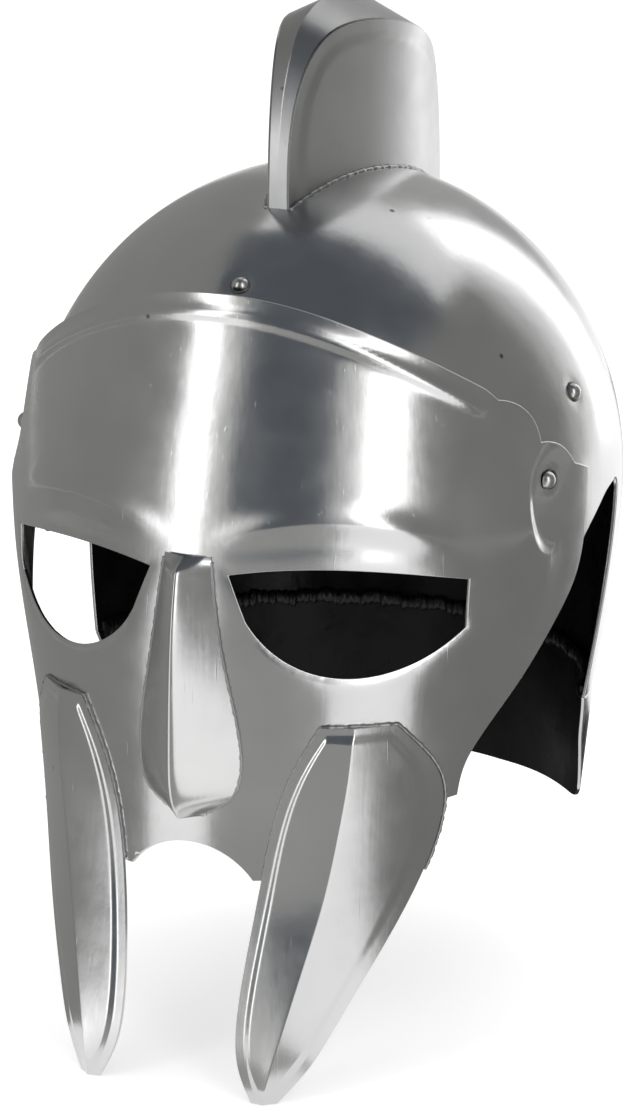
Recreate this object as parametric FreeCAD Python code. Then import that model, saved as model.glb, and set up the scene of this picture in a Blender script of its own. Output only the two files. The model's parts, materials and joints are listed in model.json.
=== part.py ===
"""Gladiator helmet in polished sheet steel with a leather liner, as separate pieces.

Frame, in millimetres: origin at the centre of the bowl, on the level of its widest section.
+Z is up, -Y is the way the face looks and +X is the wearer's left.

The sheet pieces are turned about Z as round bodies and cut there. The finished pieces are
then squeezed along X to the oval plan of a head, and the mask is leaned forward as well.
"""

import FreeCAD, Part

import math
import os

V = FreeCAD.Vector

# Bowl
bowl_half_width = 106.0
bowl_half_length = 113.0
bowl_height = 112.0
bowl_sheet = 1.5
nape_drop = 76.0
nape_draw_in = 8.5

# Neck guard
neck_drop = 57.0
neck_draw_in = 9.0
neck_sweep = 12.0
neck_sheet = 1.5
seam_bead_radius = 2.2

# Mask: face plate with its lean, and what it carries
mask_stand_off = 1.2
mask_lean = 27.0
mask_lean_run = 192.0
mask_forward = 3.0
face_sheet = 1.5
mask_lap = 0.5

# Nose guard
nose_sheet = 1.5
nose_top = -4.0
nose_length = 91.0
nose_half_width = 18.5
nose_rise = 15.0

# Cheek plates
cheek_sheet = 1.5
cheek_top = -62.0
cheek_length = 131.0
cheek_rise = 6.0
cheek_reach_share = 0.7264

# Crest
crest_front = 47.0
crest_rear = 94.0
crest_height = 59.0
crest_half_width = 22.0
crest_sheet = 1.4
crest_slope_share = 0.45

# Rivets and washers
rivet_head_radius = 3.1
rivet_head_height = 2.3
clench_height = 1.4
shank_radius = 1.7
shank_clearance = 0.2
washer_radius = 5.5
washer_thickness = 0.8
washer_clearance = 0.25
seat_clearance = 0.05
ear_rivet_forward = 41.0
ear_rivet_level = 16.0
side_rivet_forward = 13.0
brow_rivet_drop = 31.2

# Leather liner
leather_gap = 0.3
band_bottom = 28.0
band_height = 26.0
band_thickness = 3.0
tongue_count = 8
tongue_thickness = 2.5
tongue_slot = 7.0
tongue_lap = 14.0
tunnel_radius = 26.0
tunnel_drop = 17.0
lace_radius = 1.6
lace_clearance = 0.4

# Chin strap halves
strap_width = 18.0
strap_thickness = 2.5
strap_gap = 0.75
strap_top = 10.0
strap_top_lean = 1.9
strap_knee = 3.0
strap_step = 8.0
keeper_thickness = 1.6
keeper_height = 6.5
keeper_clearance = 0.3
short_run = 34.0
short_return = 21.0
long_run = 36.0
long_fold_top = 11.0
long_layers = 5
layer_gap = 0.6

# Buckle
wire_radius = 1.6
buckle_length = 19.0
buckle_width = 25.0
bar_clearance = 0.4
prong_radius = 1.2
collar_wall = 1.3
collar_width = 3.0
collar_clearance = 0.25
slot_clearance = 0.8
slot_rise = 10.0
prong_overhang = 1.8

overrun = 30.0

# Outlines as shares: back along the bowl's half length, up along its height
ear_tab_shares = ((-0.74, 0.2018), (-0.54, 0.0), (-0.42, -0.15), (-0.31, -0.205),
                  (-0.225, -0.165), (-0.165, -0.105), (-0.096, -0.0438), (-0.041, -0.0045),
                  (0.012, 0.0259), (0.1, 0.0444))
notch_shares = ((0.1, 0.0444), (0.133, 0.0454), (0.152, 0.0182))
nape_edge_shares = ((0.152, 0.0182), (0.152, -0.1), (0.138, -0.28), (0.115, -0.48))
nape_foot_share = 0.097
brow_shares = ((-0.88, 0.7365), (-0.745, 0.6054), (-0.549, 0.4465))
scallop_shares = (((-0.518, 0.4106), (-0.43, 0.3662), (-0.389, 0.2633)),
                  ((-0.389, 0.2633), (-0.305, 0.2411), (-0.239, 0.1745)))
lobe_shares = ((-0.158, 0.1455), (-0.175, 0.03), (-0.19, -0.075), (-0.222, -0.185),
               (-0.275, -0.27), (-0.345, -0.365), (-0.45, -0.505), (-0.54, -0.625),
               (-0.588, -0.72), (-0.6, -0.8223))
chin_edge_shares = ((-0.6, -0.8223), (-0.775, -0.8697), (-0.93, -1.0241), (-1.1, -1.0695))
mask_profile_shares = ((0.908, 0.918), (0.7062, 0.94), (0.4439, 0.974), (0.1433, 1.0),
                       (-0.1816, 0.996), (-0.5347, 0.93), (-0.8374, 0.868), (-1.0695, 0.842),
                       (-1.3621, 0.845), (-1.7656, 0.872))
eye_shares = ((0.1386, -0.0888), (0.4691, -0.0626), (0.7974, -0.116), (0.7931, -0.2643),
              (0.4531, -0.3955), (0.1983, -0.227))
mouth_shares = ((-0.2558, -1.13), (0.0, -0.9484), (0.2558, -1.13))

# Neck guard's edges as shares: back along the bowl's half length, down its own drop
neck_front_shares = ((0.118, 0.09), (0.15, 0.28), (0.205, 0.45), (0.285, 0.64), (0.345, 0.755))
neck_low_shares = ((0.375, 0.8), (0.46, 0.89), (0.6, 0.955), (0.8, 0.985), (1.0, 1.02), (1.3, 1.05))

# Nose guard sections as shares: down its length, half width, rise
nose_shares = ((0.0, 0.46, 0.60), (0.20, 0.58, 0.72), (0.45, 0.78, 0.86), (0.72, 1.0, 1.0),
               (0.87, 0.96, 0.98), (0.96, 0.66, 0.78), (1.0, 0.34, 0.60))

# Cheek plate sections as shares: down its length, inner edge, ridge, outer edge, rise
cheek_shares = ((0.0, 0.58, 0.72, 0.86, 0.35), (0.12, 0.47, 0.71, 0.975, 0.75),
                (0.28, 0.38, 0.675, 0.99, 1.0), (0.46, 0.33, 0.625, 0.915, 1.0),
                (0.64, 0.295, 0.56, 0.80, 0.90), (0.80, 0.28, 0.50, 0.685, 0.75),
                (0.92, 0.31, 0.455, 0.585, 0.55), (1.0, 0.375, 0.43, 0.485, 0.30))

# Crest outlines as shares: side view of its reach and height, plan of its reach and width
crest_front_shares = ((0.96, 0.48), (1.0, 0.66), (0.93, 0.82), (0.66, 0.945), (0.20, 1.0))
crest_rear_shares = ((0.16, 0.995), (0.50, 0.935), (0.80, 0.80), (0.97, 0.60), (1.0, 0.30))
crest_plan_shares = ((-0.50, 0.22), (-0.20, 0.60), (0.20, 0.97), (0.42, 0.95), (0.72, 0.62),
                     (1.02, 0.24))

squeeze_share = bowl_half_width / bowl_half_length
crest_top = bowl_height + crest_height
lean_share = mask_lean / mask_lean_run
reach = bowl_half_length + overrun


def line(a, b):
    return Part.LineSegment(a, b).toShape()


def arc(a, b, c):
    return Part.Arc(a, b, c).toShape()


def curve(points):
    spline = Part.BSplineCurve()
    spline.interpolate(Points=points)
    return spline


def polygon(points):
    return [line(points[i], points[(i + 1) % len(points)]) for i in range(len(points))]


def side_points(shares):
    return [V(0, y * bowl_half_length, z * bowl_height) for y, z in shares]


def upright(points):
    """Takes points of the leaned mask back to the upright turned body."""
    return [V(p.x, p.y - lean_share * p.z + mask_forward, p.z) for p in points]


def prism(edges, along):
    """A solid on both sides of a closed outline, as far as the vector along reaches."""
    face = Part.Face(Part.Wire(edges))
    face.translate(along * -1)
    return face.extrude(along * 2)


def across(edges):
    return prism(edges, V(reach, 0, 0))


def mirrored(shape):
    return shape.mirror(V(0, 0, 0), V(1, 0, 0))


def squeezed(shape):
    matrix = FreeCAD.Matrix()
    matrix.scale(squeeze_share, 1, 1)
    return shape.transformGeometry(matrix)


def leaned(shape):
    matrix = FreeCAD.Matrix(squeeze_share, 0, 0, 0, 0, 1, lean_share, -mask_forward,
                            0, 0, 1, 0, 0, 0, 0, 1)
    return shape.transformGeometry(matrix)


def turned(edges):
    return Part.Face(Part.Wire(edges)).revolve(V(0, 0, 0), V(0, 0, 1), 360)


def bowl_radius(z, inset=0.0):
    """Radius of the round bowl at a level: an ellipse above the centre, a drawn-in nape below."""
    if z >= 0:
        height = bowl_height - inset
        return (bowl_half_length - inset) * math.sqrt(max(0.0, 1 - (z / height) ** 2))
    return bowl_half_length - inset - nape_draw_in * (-z / nape_drop) ** 1.5


def quarter_ellipse(length, height):
    """An upright quarter of an ellipse, whichever of its two half axes is the longer."""
    ellipse = Part.Ellipse(V(0, 0, 0), max(length, height), min(length, height))
    quarter = Part.ArcOfEllipse(ellipse, 0, math.pi / 2).toShape()
    if length >= height:
        quarter.rotate(V(0, 0, 0), V(1, 0, 0), 90)
    else:
        quarter.rotate(V(0, 0, 0), V(1, 1, 1), -120)
    return quarter


def bowl_body(inset):
    length = bowl_half_length - inset
    height = bowl_height - inset
    top = quarter_ellipse(length, height)
    steps = 6
    levels = [-nape_drop * step / steps for step in range(steps + 1)]
    nape = [V(bowl_radius(z, inset), 0, z) for z in levels]
    foot = V(0, 0, -nape_drop)
    return turned([top, curve(nape).toShape(), line(nape[-1], foot), line(foot, V(0, 0, height))])


def mask_curve(inset):
    size = bowl_half_length + mask_stand_off
    points = [V(size * r - inset, 0, z * bowl_height) for z, r in mask_profile_shares]
    return curve(points)


mask_outer = mask_curve(0)


def mask_radius(z):
    """Radius of the round mask at a level, found on its profile by halving."""
    low, high = mask_outer.FirstParameter, mask_outer.LastParameter
    for _ in range(40):
        middle = (low + high) / 2
        if mask_outer.value(middle).z > z:
            low = middle
        else:
            high = middle
    return mask_outer.value(low).x


def mask_y(x, z, off=0.0):
    """Y of the leaned mask's outer face at x and z, stood off by a distance."""
    radius = mask_radius(z) + off
    back = math.sqrt(radius ** 2 - (x / squeeze_share) ** 2)
    return lean_share * z - mask_forward - back


def mask_x(y, z):
    radius = mask_radius(z)
    return squeeze_share * math.sqrt(radius ** 2 - (y - lean_share * z + mask_forward) ** 2)


def drill(point, normal, radius, lean=0.0):
    """A hole's cutter for a round body, so that it is true once the body is squeezed."""
    shift = mask_forward if lean else 0.0
    centre = V(point.x / squeeze_share, point.y - lean * point.z + shift, point.z)
    way = V(normal.x / squeeze_share, normal.y - lean * normal.z, normal.z)
    way.normalize()
    start = centre - way * overrun
    return Part.makeCylinder(radius, 2 * overrun, start, way)


def bowl_spot(y, z, inset, side=1):
    """Point of the squeezed bowl at y and z, with the outward normal of the bowl there."""
    radius = bowl_radius(z, inset)
    x = side * squeeze_share * math.sqrt(max(0.0, radius ** 2 - y ** 2))
    normal = V(x / squeeze_share ** 2, y, z * (bowl_half_length / bowl_height) ** 2)
    normal.normalize()
    return V(x, y, z), normal


# Rivet places: point on the bowl's outer face and outward normal
brow_rivet_level = bowl_height - brow_rivet_drop
side_rivet_level = band_bottom + band_height / 2
band_y = bowl_radius(side_rivet_level)
liner_spots = [bowl_spot(-side_rivet_forward, side_rivet_level, 0, side) for side in (1, -1)]
liner_spots.append(bowl_spot(-band_y, side_rivet_level, 0))
liner_spots.append(bowl_spot(band_y, side_rivet_level, 0))
brow_spot = bowl_spot(-bowl_radius(brow_rivet_level), brow_rivet_level, 0)
hole_radius = shank_radius + shank_clearance


def ear_frame(side):
    """Point on the bowl's inner face at an ear rivet, and the level outward normal."""
    spot, normal = bowl_spot(-ear_rivet_forward, ear_rivet_level, bowl_sheet, side)
    level_normal = V(normal.x, normal.y, 0)
    level_normal.normalize()
    return spot, level_normal


nape_foot = V(0, nape_foot_share * bowl_half_length, -nape_drop)


def make_bowl():
    tab = side_points(ear_tab_shares)
    notch = side_points(notch_shares)
    nape = side_points(nape_edge_shares) + [nape_foot]
    start = V(0, -reach, tab[0].z)
    foot = V(0, nape[-1].y, -nape_drop - overrun)
    corner = V(0, -reach, foot.z)
    opening = across([line(start, tab[0]), curve(tab).toShape(), arc(*notch),
                      curve(nape).toShape(), line(nape[-1], foot), line(foot, corner),
                      line(corner, start)])
    body = bowl_body(0).cut(bowl_body(bowl_sheet)).cut(opening)
    spots = liner_spots + [brow_spot] + [ear_frame(1), ear_frame(-1)]
    holes = [drill(spot, normal, hole_radius) for spot, normal in spots]
    return squeezed(body.cut(holes))


def neck_profile(inset):
    top = bowl_radius(-nape_drop) - inset
    return V(top, 0, -nape_drop), V(top - neck_draw_in, 0, -nape_drop - neck_drop)


def neck_body(inset):
    top, low = neck_profile(inset)
    return turned([line(top, low), line(low, V(0, 0, low.z)),
                   line(V(0, 0, low.z), V(0, 0, top.z)), line(V(0, 0, top.z), top)])


sweep_share = neck_sweep / neck_drop


def swept_back(shape):
    """Squeezes the neck guard and shears it rearwards, with its top edge kept in place."""
    matrix = FreeCAD.Matrix(squeeze_share, 0, 0, 0, 0, 1, -sweep_share, -sweep_share * nape_drop,
                            0, 0, 1, 0, 0, 0, 0, 1)
    return shape.transformGeometry(matrix)


def unswept(shares):
    """Takes points of the swept neck guard back to the upright turned body."""
    points = [V(0, y * bowl_half_length, -nape_drop - z * neck_drop) for y, z in shares]
    return [V(0, p.y + sweep_share * (p.z + nape_drop), p.z) for p in points]


def make_neck_guard():
    front = [nape_foot] + unswept(neck_front_shares)
    low = unswept(neck_low_shares)
    above = V(0, nape_foot.y, overrun - nape_drop)
    below = V(0, low[-1].y, low[-1].z - overrun)
    rear = V(0, reach, below.z)
    rear_above = V(0, reach, above.z)
    keep = across([line(above, front[0]), curve(front).toShape(), line(front[-1], low[0]),
                   curve(low).toShape(), line(low[-1], below), line(below, rear),
                   line(rear, rear_above), line(rear_above, above)])
    return swept_back(neck_body(0).cut(neck_body(neck_sheet)).common(keep))


def make_seam_bead():
    radius = bowl_radius(-nape_drop) - bowl_sheet - seam_bead_radius / 2
    ring = Part.makeTorus(radius, seam_bead_radius, V(0, 0, -nape_drop), V(0, 0, 1))
    edge = nape_foot.y + seam_bead_radius
    keep = Part.makeBox(2 * reach, reach, 2 * overrun,
                        V(-reach, edge, -nape_drop - overrun))
    ring = ring.common(keep).cut(bowl_body(0).cut(bowl_body(bowl_sheet)))
    lower = Part.makeBox(2 * reach, 2 * reach, overrun, V(-reach, -reach, -nape_drop - overrun))
    return squeezed(ring.cut(lower))


def make_face_plate():
    outer = mask_curve(0).toShape()
    inner = mask_curve(face_sheet).toShape()
    high, low = mask_outer.StartPoint, mask_outer.EndPoint
    inset = V(face_sheet, 0, 0)
    high_in, low_in = high - inset, low - inset
    body = turned([outer, line(low, low_in), inner, line(high_in, high)])
    brow = upright(side_points(brow_shares))
    first, second = [upright(side_points(scallop)) for scallop in scallop_shares]
    lobe = upright(side_points(lobe_shares))
    chin = upright(side_points(chin_edge_shares))
    front_high = V(0, -reach, brow[0].z)
    front_low = V(0, -reach, chin[-1].z)
    keep = across([line(front_high, brow[0]), arc(*brow), line(brow[-1], first[0]), arc(*first),
                   arc(*second), line(second[-1], lobe[0]), curve(lobe).toShape(),
                   curve(chin).toShape(), line(chin[-1], front_low),
                   line(front_low, front_high)])
    body = body.common(keep)
    cuts = []
    for side in (1, -1):
        eye = [V(side * x * bowl_half_length, 0, z * bowl_height) for x, z in eye_shares]
        edges = [arc(*eye[:3]), line(eye[2], eye[3]), arc(*eye[3:]), line(eye[5], eye[0])]
        window = Part.Face(Part.Wire(edges))
        window.translate(V(0, -reach, 0))
        cuts.append(window.extrude(V(0, reach, 0)))
        spot, normal = ear_frame(side)
        cuts.append(drill(spot, normal, hole_radius, lean_share))
    mouth = [V(x * bowl_half_length, 0, z * bowl_height) for x, z in mouth_shares]
    low_left = V(mouth[0].x, 0, mouth[0].z - overrun)
    low_right = V(mouth[2].x, 0, mouth[2].z - overrun)
    window = Part.Face(Part.Wire([arc(*mouth), line(mouth[2], low_right),
                                  line(low_right, low_left), line(low_left, mouth[0])]))
    window.translate(V(0, -reach, 0))
    cuts.append(window.extrude(V(0, reach, 0)))
    return leaned(body.cut(cuts))


def make_nose_guard():
    """A folded sheet with a ridge: six straight edges in each level section, joined by a loft."""
    wires = []
    for down, width, rise in nose_shares:
        z = nose_top - down * nose_length
        half = width * nose_half_width
        ridge = rise * nose_rise
        side_y = mask_y(half, z, mask_lap)
        ridge_y = mask_y(0, z, mask_lap + ridge)
        wall = nose_sheet * math.hypot(half, side_y - ridge_y) / half
        corners = [V(half, side_y, z), V(0, ridge_y, z), V(-half, side_y, z),
                   V(-half + nose_sheet, side_y, z), V(0, ridge_y + wall, z),
                   V(half - nose_sheet, side_y, z)]
        edges = [line(corners[i], corners[(i + 1) % 6]) for i in range(6)]
        wires.append(Part.Wire(edges))
    return Part.makeLoft(wires, True, False)


def cheek_section(z, inner, ridge, outer, rise):
    def pair(x, height):
        return (V(x, mask_y(x, z, mask_lap + cheek_sheet + height), z),
                V(x, mask_y(x, z, mask_lap + height), z))
    a, a_in = pair(inner, 0)
    b, b_in = pair((inner + ridge) / 2, 0.42 * rise)
    c, c_in = pair(ridge, rise)
    d, d_in = pair((ridge + outer) / 2, 0.42 * rise)
    e, e_in = pair(outer, 0)
    return Part.Wire([arc(a, b, c), arc(c, d, e), line(e, e_in), arc(e_in, d_in, c_in),
                      arc(c_in, b_in, a_in), line(a_in, a)])


def make_cheek_plate():
    cheek_reach = cheek_reach_share * bowl_half_width
    wires = [cheek_section(cheek_top - down * cheek_length, inner * cheek_reach,
                           ridge * cheek_reach, outer * cheek_reach, rise * cheek_rise)
             for down, inner, ridge, outer, rise in cheek_shares]
    return Part.makeLoft(wires, True, False)


def crest_side_edges(inset):
    """Closed side outline of the crest, drawn in by a distance all along its open edge."""
    front = [V(0, -y * crest_front + inset, z * crest_top - inset) for y, z in crest_front_shares]
    rear = [V(0, y * crest_rear - inset, z * crest_top - inset) for y, z in crest_rear_shares]
    middle = V(0, 0, crest_top - inset)
    joined = curve(front[:-1] + [middle] + rear[1:]).toShape()
    foot_front = V(0, front[0].y, 0)
    foot_rear = V(0, rear[-1].y, 0)
    return [joined, line(rear[-1], foot_rear), line(foot_rear, foot_front),
            line(foot_front, front[0])]


def crest_roof(inset):
    """Both halves of the crest's envelope, with a roof that falls to either side."""
    halves = []
    width = 2 * crest_half_width
    for side in (1, -1):
        face = Part.Face(Part.Wire(crest_side_edges(inset)))
        halves.append(face.extrude(V(side * width, 0, -crest_slope_share * width)))
    return halves


def crest_plan(inset, side):
    reach_y = crest_rear
    points = [V(side * (w * crest_half_width - inset), y * reach_y, 0) for y, w in crest_plan_shares]
    first = V(0, points[0].y - overrun, 0)
    last = V(0, points[-1].y + overrun, 0)
    edges = [line(first, V(points[0].x, first.y, 0)), line(V(points[0].x, first.y, 0), points[0]),
             curve(points).toShape(), line(points[-1], V(points[-1].x, last.y, 0)),
             line(V(points[-1].x, last.y, 0), last), line(last, first)]
    return Part.Face(Part.Wire(edges)).extrude(V(0, 0, crest_top + overrun))


def make_crest():
    bowl = bowl_body(0)
    plates = []
    strips = []
    outer_roof = crest_roof(0)
    inner_roof = crest_roof(crest_sheet)
    for index, side in enumerate((1, -1)):
        outer_plan = crest_plan(0, side)
        inner_plan = crest_plan(crest_sheet, side)
        solid = outer_roof[index].common(outer_plan)
        plates.append(solid.cut(inner_plan).cut(bowl))
        strips.append(solid.common(inner_plan).cut(inner_roof[index]).cut(bowl))
    strip = strips[0].fuse(strips[1]).removeSplitter()
    return squeezed(plates[0]), squeezed(plates[1]), squeezed(strip)


def inside(z, off):
    """Point of a turned profile at a level, a distance inside the bowl's inner face."""
    return V(bowl_radius(z, bowl_sheet) - off, 0, z)


def band_face(z):
    """Radius of the headband's straight inner face at a level."""
    top = band_bottom + band_height
    low, high = [inside(level, leather_gap + band_thickness).x for level in (band_bottom, top)]
    return low + (high - low) * (z - band_bottom) / band_height


def make_headband():
    top = band_bottom + band_height
    out_low, out_high = inside(band_bottom, leather_gap), inside(top, leather_gap)
    in_low, in_high = [inside(z, leather_gap + band_thickness) for z in (band_bottom, top)]
    body = turned([line(out_low, out_high), line(out_high, in_high), line(in_high, in_low),
                   line(in_low, out_low)])
    holes = [drill(spot, normal, hole_radius) for spot, normal in liner_spots]
    return squeezed(body.cut(holes))


tunnel_level = bowl_height - tunnel_drop
tunnel_inner = lace_radius + lace_clearance
tunnel_outer = tunnel_inner + tongue_thickness


def bowl_square(z):
    """Direction square to the round bowl's outer face at a level."""
    square = V(bowl_radius(z), 0, z * (bowl_half_length / bowl_height) ** 2)
    square.normalize()
    return square


def make_tongues():
    """Eight leaves that follow the bowl up to the brow rivet and end in tunnels for the lace."""
    band_top = band_bottom + band_height
    roots = [V(band_face(z) - leather_gap, 0, z) for z in (band_top - tongue_lap, band_top)]
    square = bowl_square(brow_rivet_level)
    up = V(-square.z, 0, square.x) * washer_radius
    seat = V(bowl_radius(brow_rivet_level), 0, brow_rivet_level)
    seat -= square * (bowl_sheet + leather_gap)
    backs = roots + [seat - up, seat + up, V(tunnel_radius, 0, tunnel_level + tunnel_outer)]
    seat -= square * tongue_thickness
    fronts = [root - V(tongue_thickness, 0, 0) for root in roots]
    fronts += [seat - up, seat + up, V(tunnel_radius, 0, tunnel_level + tunnel_inner)]
    loop = backs + fronts[::-1]
    body = turned([line(loop[i], loop[(i + 1) % len(loop)]) for i in range(len(loop))])
    centre = V(0, 0, tunnel_level)
    body = body.fuse(Part.makeTorus(tunnel_radius, tunnel_outer, centre, V(0, 0, 1)))
    body = body.cut(Part.makeTorus(tunnel_radius, tunnel_inner, centre, V(0, 0, 1)))
    slots = []
    for index in range(tongue_count // 2):
        slot = Part.makeBox(2 * reach, tongue_slot, reach, V(-reach, -tongue_slot / 2, 0))
        slot.rotate(V(0, 0, 0), V(0, 0, 1), (index + 0.5) * 360 / tongue_count)
        slots.append(slot)
    body = body.cut(slots)
    holes = [drill(spot, normal, hole_radius) for spot, normal in liner_spots + [brow_spot]]
    return squeezed(body.cut(holes))


def make_lace():
    ring = Part.makeTorus(tunnel_radius, lace_radius, V(0, 0, tunnel_level), V(0, 0, 1))
    return squeezed(ring)


def placed(shape, point, normal):
    """Moves a shape made along +Z from the origin to a point, to run along a normal."""
    shape.Placement = FreeCAD.Placement(point, FreeCAD.Rotation(V(0, 0, 1), normal))
    return shape


def rivet(point, normal, outside, depth):
    """A domed head outside, a shank through the layers and a low clenched head inside."""
    def dome(radius, height, base, way):
        ball = (radius ** 2 + height ** 2) / (2 * height)
        centre = V(0, 0, base + way * (height - ball))
        keep = Part.makeCylinder(ball, height, V(0, 0, base), V(0, 0, way))
        return Part.makeSphere(ball, centre).common(keep)
    head = outside + seat_clearance
    foot = -depth - seat_clearance
    body = Part.makeCylinder(shank_radius, head - foot, V(0, 0, foot), V(0, 0, 1))
    body = body.fuse([dome(rivet_head_radius, rivet_head_height, head, 1),
                      dome(rivet_head_radius, clench_height, foot, -1)])
    return placed(body.removeSplitter(), point, normal)


def washer(point, normal, depth):
    body = Part.makeCylinder(washer_radius, washer_thickness, V(0, 0, -depth), V(0, 0, 1))
    hole = Part.makeCylinder(hole_radius, washer_thickness, V(0, 0, -depth), V(0, 0, 1))
    return placed(body.cut(hole), point, normal)


def make_liner_rivets():
    """Through the bowl, the headband and a tongue's root, or the bowl and a tongue alone."""
    radius = bowl_radius(side_rivet_level)
    root_share = 1 - (band_face(side_rivet_level) - leather_gap - tongue_thickness) / radius
    rivets, washers = [], []
    places = [(spot, normal, root_share * (spot.x * normal.x + spot.y * normal.y))
              for spot, normal in liner_spots]
    places.append((*brow_spot, bowl_sheet + leather_gap + tongue_thickness))
    for spot, normal, layers in places:
        depth = layers + washer_clearance
        rivets.append(rivet(spot, normal, 0, depth + washer_thickness))
        washers.append(washer(spot, normal, depth + washer_thickness))
    return Part.makeCompound(rivets), Part.makeCompound(washers)


def local_placement(side):
    """Local axes at an ear: X outward, Y backward on the wearer's left, Z up."""
    spot, normal = ear_frame(side)
    back = V(0, 0, 1).cross(normal)
    matrix = FreeCAD.Matrix(normal.x, back.x, 0, spot.x, normal.y, back.y, 0, spot.y,
                            0, 0, 1, spot.z, 0, 0, 0, 1)
    return FreeCAD.Placement(matrix)


def at_ear(shape, side):
    shape.Placement = local_placement(side).multiply(shape.Placement)
    return shape


def strap_prism(points_or_edges, width):
    face = Part.Face(Part.Wire(points_or_edges))
    face.translate(V(0, -width / 2, 0))
    return face.extrude(V(0, width, 0))


run_face = strap_gap + keeper_thickness + 2 * keeper_clearance
fold_inner = wire_radius + bar_clearance
fold_outer = fold_inner + strap_thickness
bar_x = -run_face - strap_thickness - fold_inner
strap_seat = strap_gap + strap_thickness


def strap_head(bottom):
    """Upper end of a strap half: along the bowl at the rivet, then a step clear of the keeper."""
    t = strap_thickness
    return [V(-strap_gap - strap_top_lean, 0, strap_top), V(-strap_gap, 0, -strap_knee),
            V(-run_face, 0, -strap_knee - strap_step), V(-run_face, 0, bottom),
            V(-run_face - t, 0, bottom), V(-run_face - t, 0, -strap_knee - strap_step),
            V(-strap_gap - t, 0, -strap_knee), V(-strap_gap - strap_top_lean - t, 0, strap_top)]


def strap_hole():
    return Part.makeCylinder(hole_radius, 4 * strap_seat, V(-3 * strap_seat, 0, 0), V(1, 0, 0))


def half_ring(x, z, way):
    """A bent bit of strap about a line along the strap's width, below or above a level."""
    ring = Part.makeCylinder(fold_outer, strap_width, V(x, -strap_width / 2, z), V(0, 1, 0))
    ring = ring.cut(Part.makeCylinder(fold_inner, strap_width, V(x, -strap_width / 2, z),
                                      V(0, 1, 0)))
    low = z - 2 * fold_outer if way < 0 else z
    keep = Part.makeBox(4 * fold_outer, strap_width, 2 * fold_outer,
                        V(x - 2 * fold_outer, -strap_width / 2, low))
    return ring.common(keep)


def make_short_strap():
    """Runs down to the buckle, folds round its bar and comes back up against itself."""
    t = strap_thickness
    back_x = bar_x - fold_inner
    close_x = -run_face - t - layer_gap / 2
    rise = -short_run + short_return
    knee = -short_run + short_return / 2
    back = [V(back_x, 0, -short_run), V(close_x, 0, knee), V(close_x, 0, rise),
            V(close_x - t, 0, rise), V(close_x - t, 0, knee), V(back_x - t, 0, -short_run)]
    body = strap_prism(polygon(strap_head(-short_run)), strap_width)
    body = body.fuse([half_ring(bar_x, -short_run, -1), strap_prism(polygon(back), strap_width)])
    slot_width = collar_width + 2 * slot_clearance
    slot_height = fold_outer + slot_rise
    slot = Part.makeBox(4 * fold_outer, slot_width, slot_height,
                        V(bar_x - 2 * fold_outer, -slot_width / 2, -short_run - fold_outer))
    return at_ear(body.removeSplitter().cut([slot, strap_hole()]), 1)


def make_long_strap():
    """Folded up in layers inside the bowl: the run down, then turns below and above by turns."""
    t = strap_thickness
    bend = layer_gap / 2
    pitch = t + layer_gap
    pieces = []
    for index in range(1, long_layers):
        x = -run_face - t - index * pitch
        pieces.append(Part.makeBox(t, strap_width, long_run - long_fold_top,
                                   V(x, -strap_width / 2, -long_run)))
        centre_x = x + t + bend
        low = index % 2 == 1
        z = -long_run if low else -long_fold_top
        ring = Part.makeCylinder(bend + t, strap_width, V(centre_x, -strap_width / 2, z),
                                 V(0, 1, 0))
        core = Part.makeCylinder(bend, strap_width, V(centre_x, -strap_width / 2, z), V(0, 1, 0))
        keep = Part.makeBox(2 * pitch, strap_width, pitch,
                            V(centre_x - pitch, -strap_width / 2, z - pitch if low else z))
        pieces.append(ring.cut(core).common(keep))
    body = strap_prism(polygon(strap_head(-long_run)), strap_width).fuse(pieces)
    return at_ear(body.removeSplitter().cut(strap_hole()), -1)


def keeper(depth, level, side):
    """A leather loop round the layers of a strap half."""
    gap = keeper_clearance
    t = keeper_thickness
    outer = Part.makeBox(depth + 2 * (gap + t), strap_width + 2 * (gap + t), keeper_height,
                         V(-run_face - depth - gap - t, -strap_width / 2 - gap - t, level))
    inner = Part.makeBox(depth + 2 * gap, strap_width + 2 * gap, keeper_height,
                         V(-run_face - depth - gap, -strap_width / 2 - gap, level))
    return at_ear(outer.cut(inner), side)


def make_buckle_frame():
    half = buckle_width / 2
    corners = [V(bar_x, -half, -short_run), V(bar_x, half, -short_run),
               V(bar_x, half, -short_run - buckle_length),
               V(bar_x, -half, -short_run - buckle_length)]
    bars = []
    for index, corner in enumerate(corners):
        way = corners[(index + 1) % 4] - corner
        bars.append(Part.makeCylinder(wire_radius, way.Length, corner, way))
        bars.append(Part.makeSphere(wire_radius, corner))
    return at_ear(bars[0].multiFuse(bars[1:]).removeSplitter(), 1)


def make_buckle_prong():
    off = wire_radius + collar_clearance + prong_radius
    start = V(bar_x, -collar_width / 2, -short_run)
    collar = Part.makeCylinder(wire_radius + collar_clearance + collar_wall, collar_width, start,
                               V(0, 1, 0))
    bore = Part.makeCylinder(wire_radius + collar_clearance, collar_width, start, V(0, 1, 0))
    length = buckle_length + prong_overhang
    pin = Part.makeCylinder(prong_radius, length, V(bar_x - off, 0, -short_run), V(0, 0, -1))
    tip = Part.makeSphere(prong_radius, V(bar_x - off, 0, -short_run - length))
    return at_ear(collar.fuse([pin, tip]).cut(bore).removeSplitter(), 1)


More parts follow.
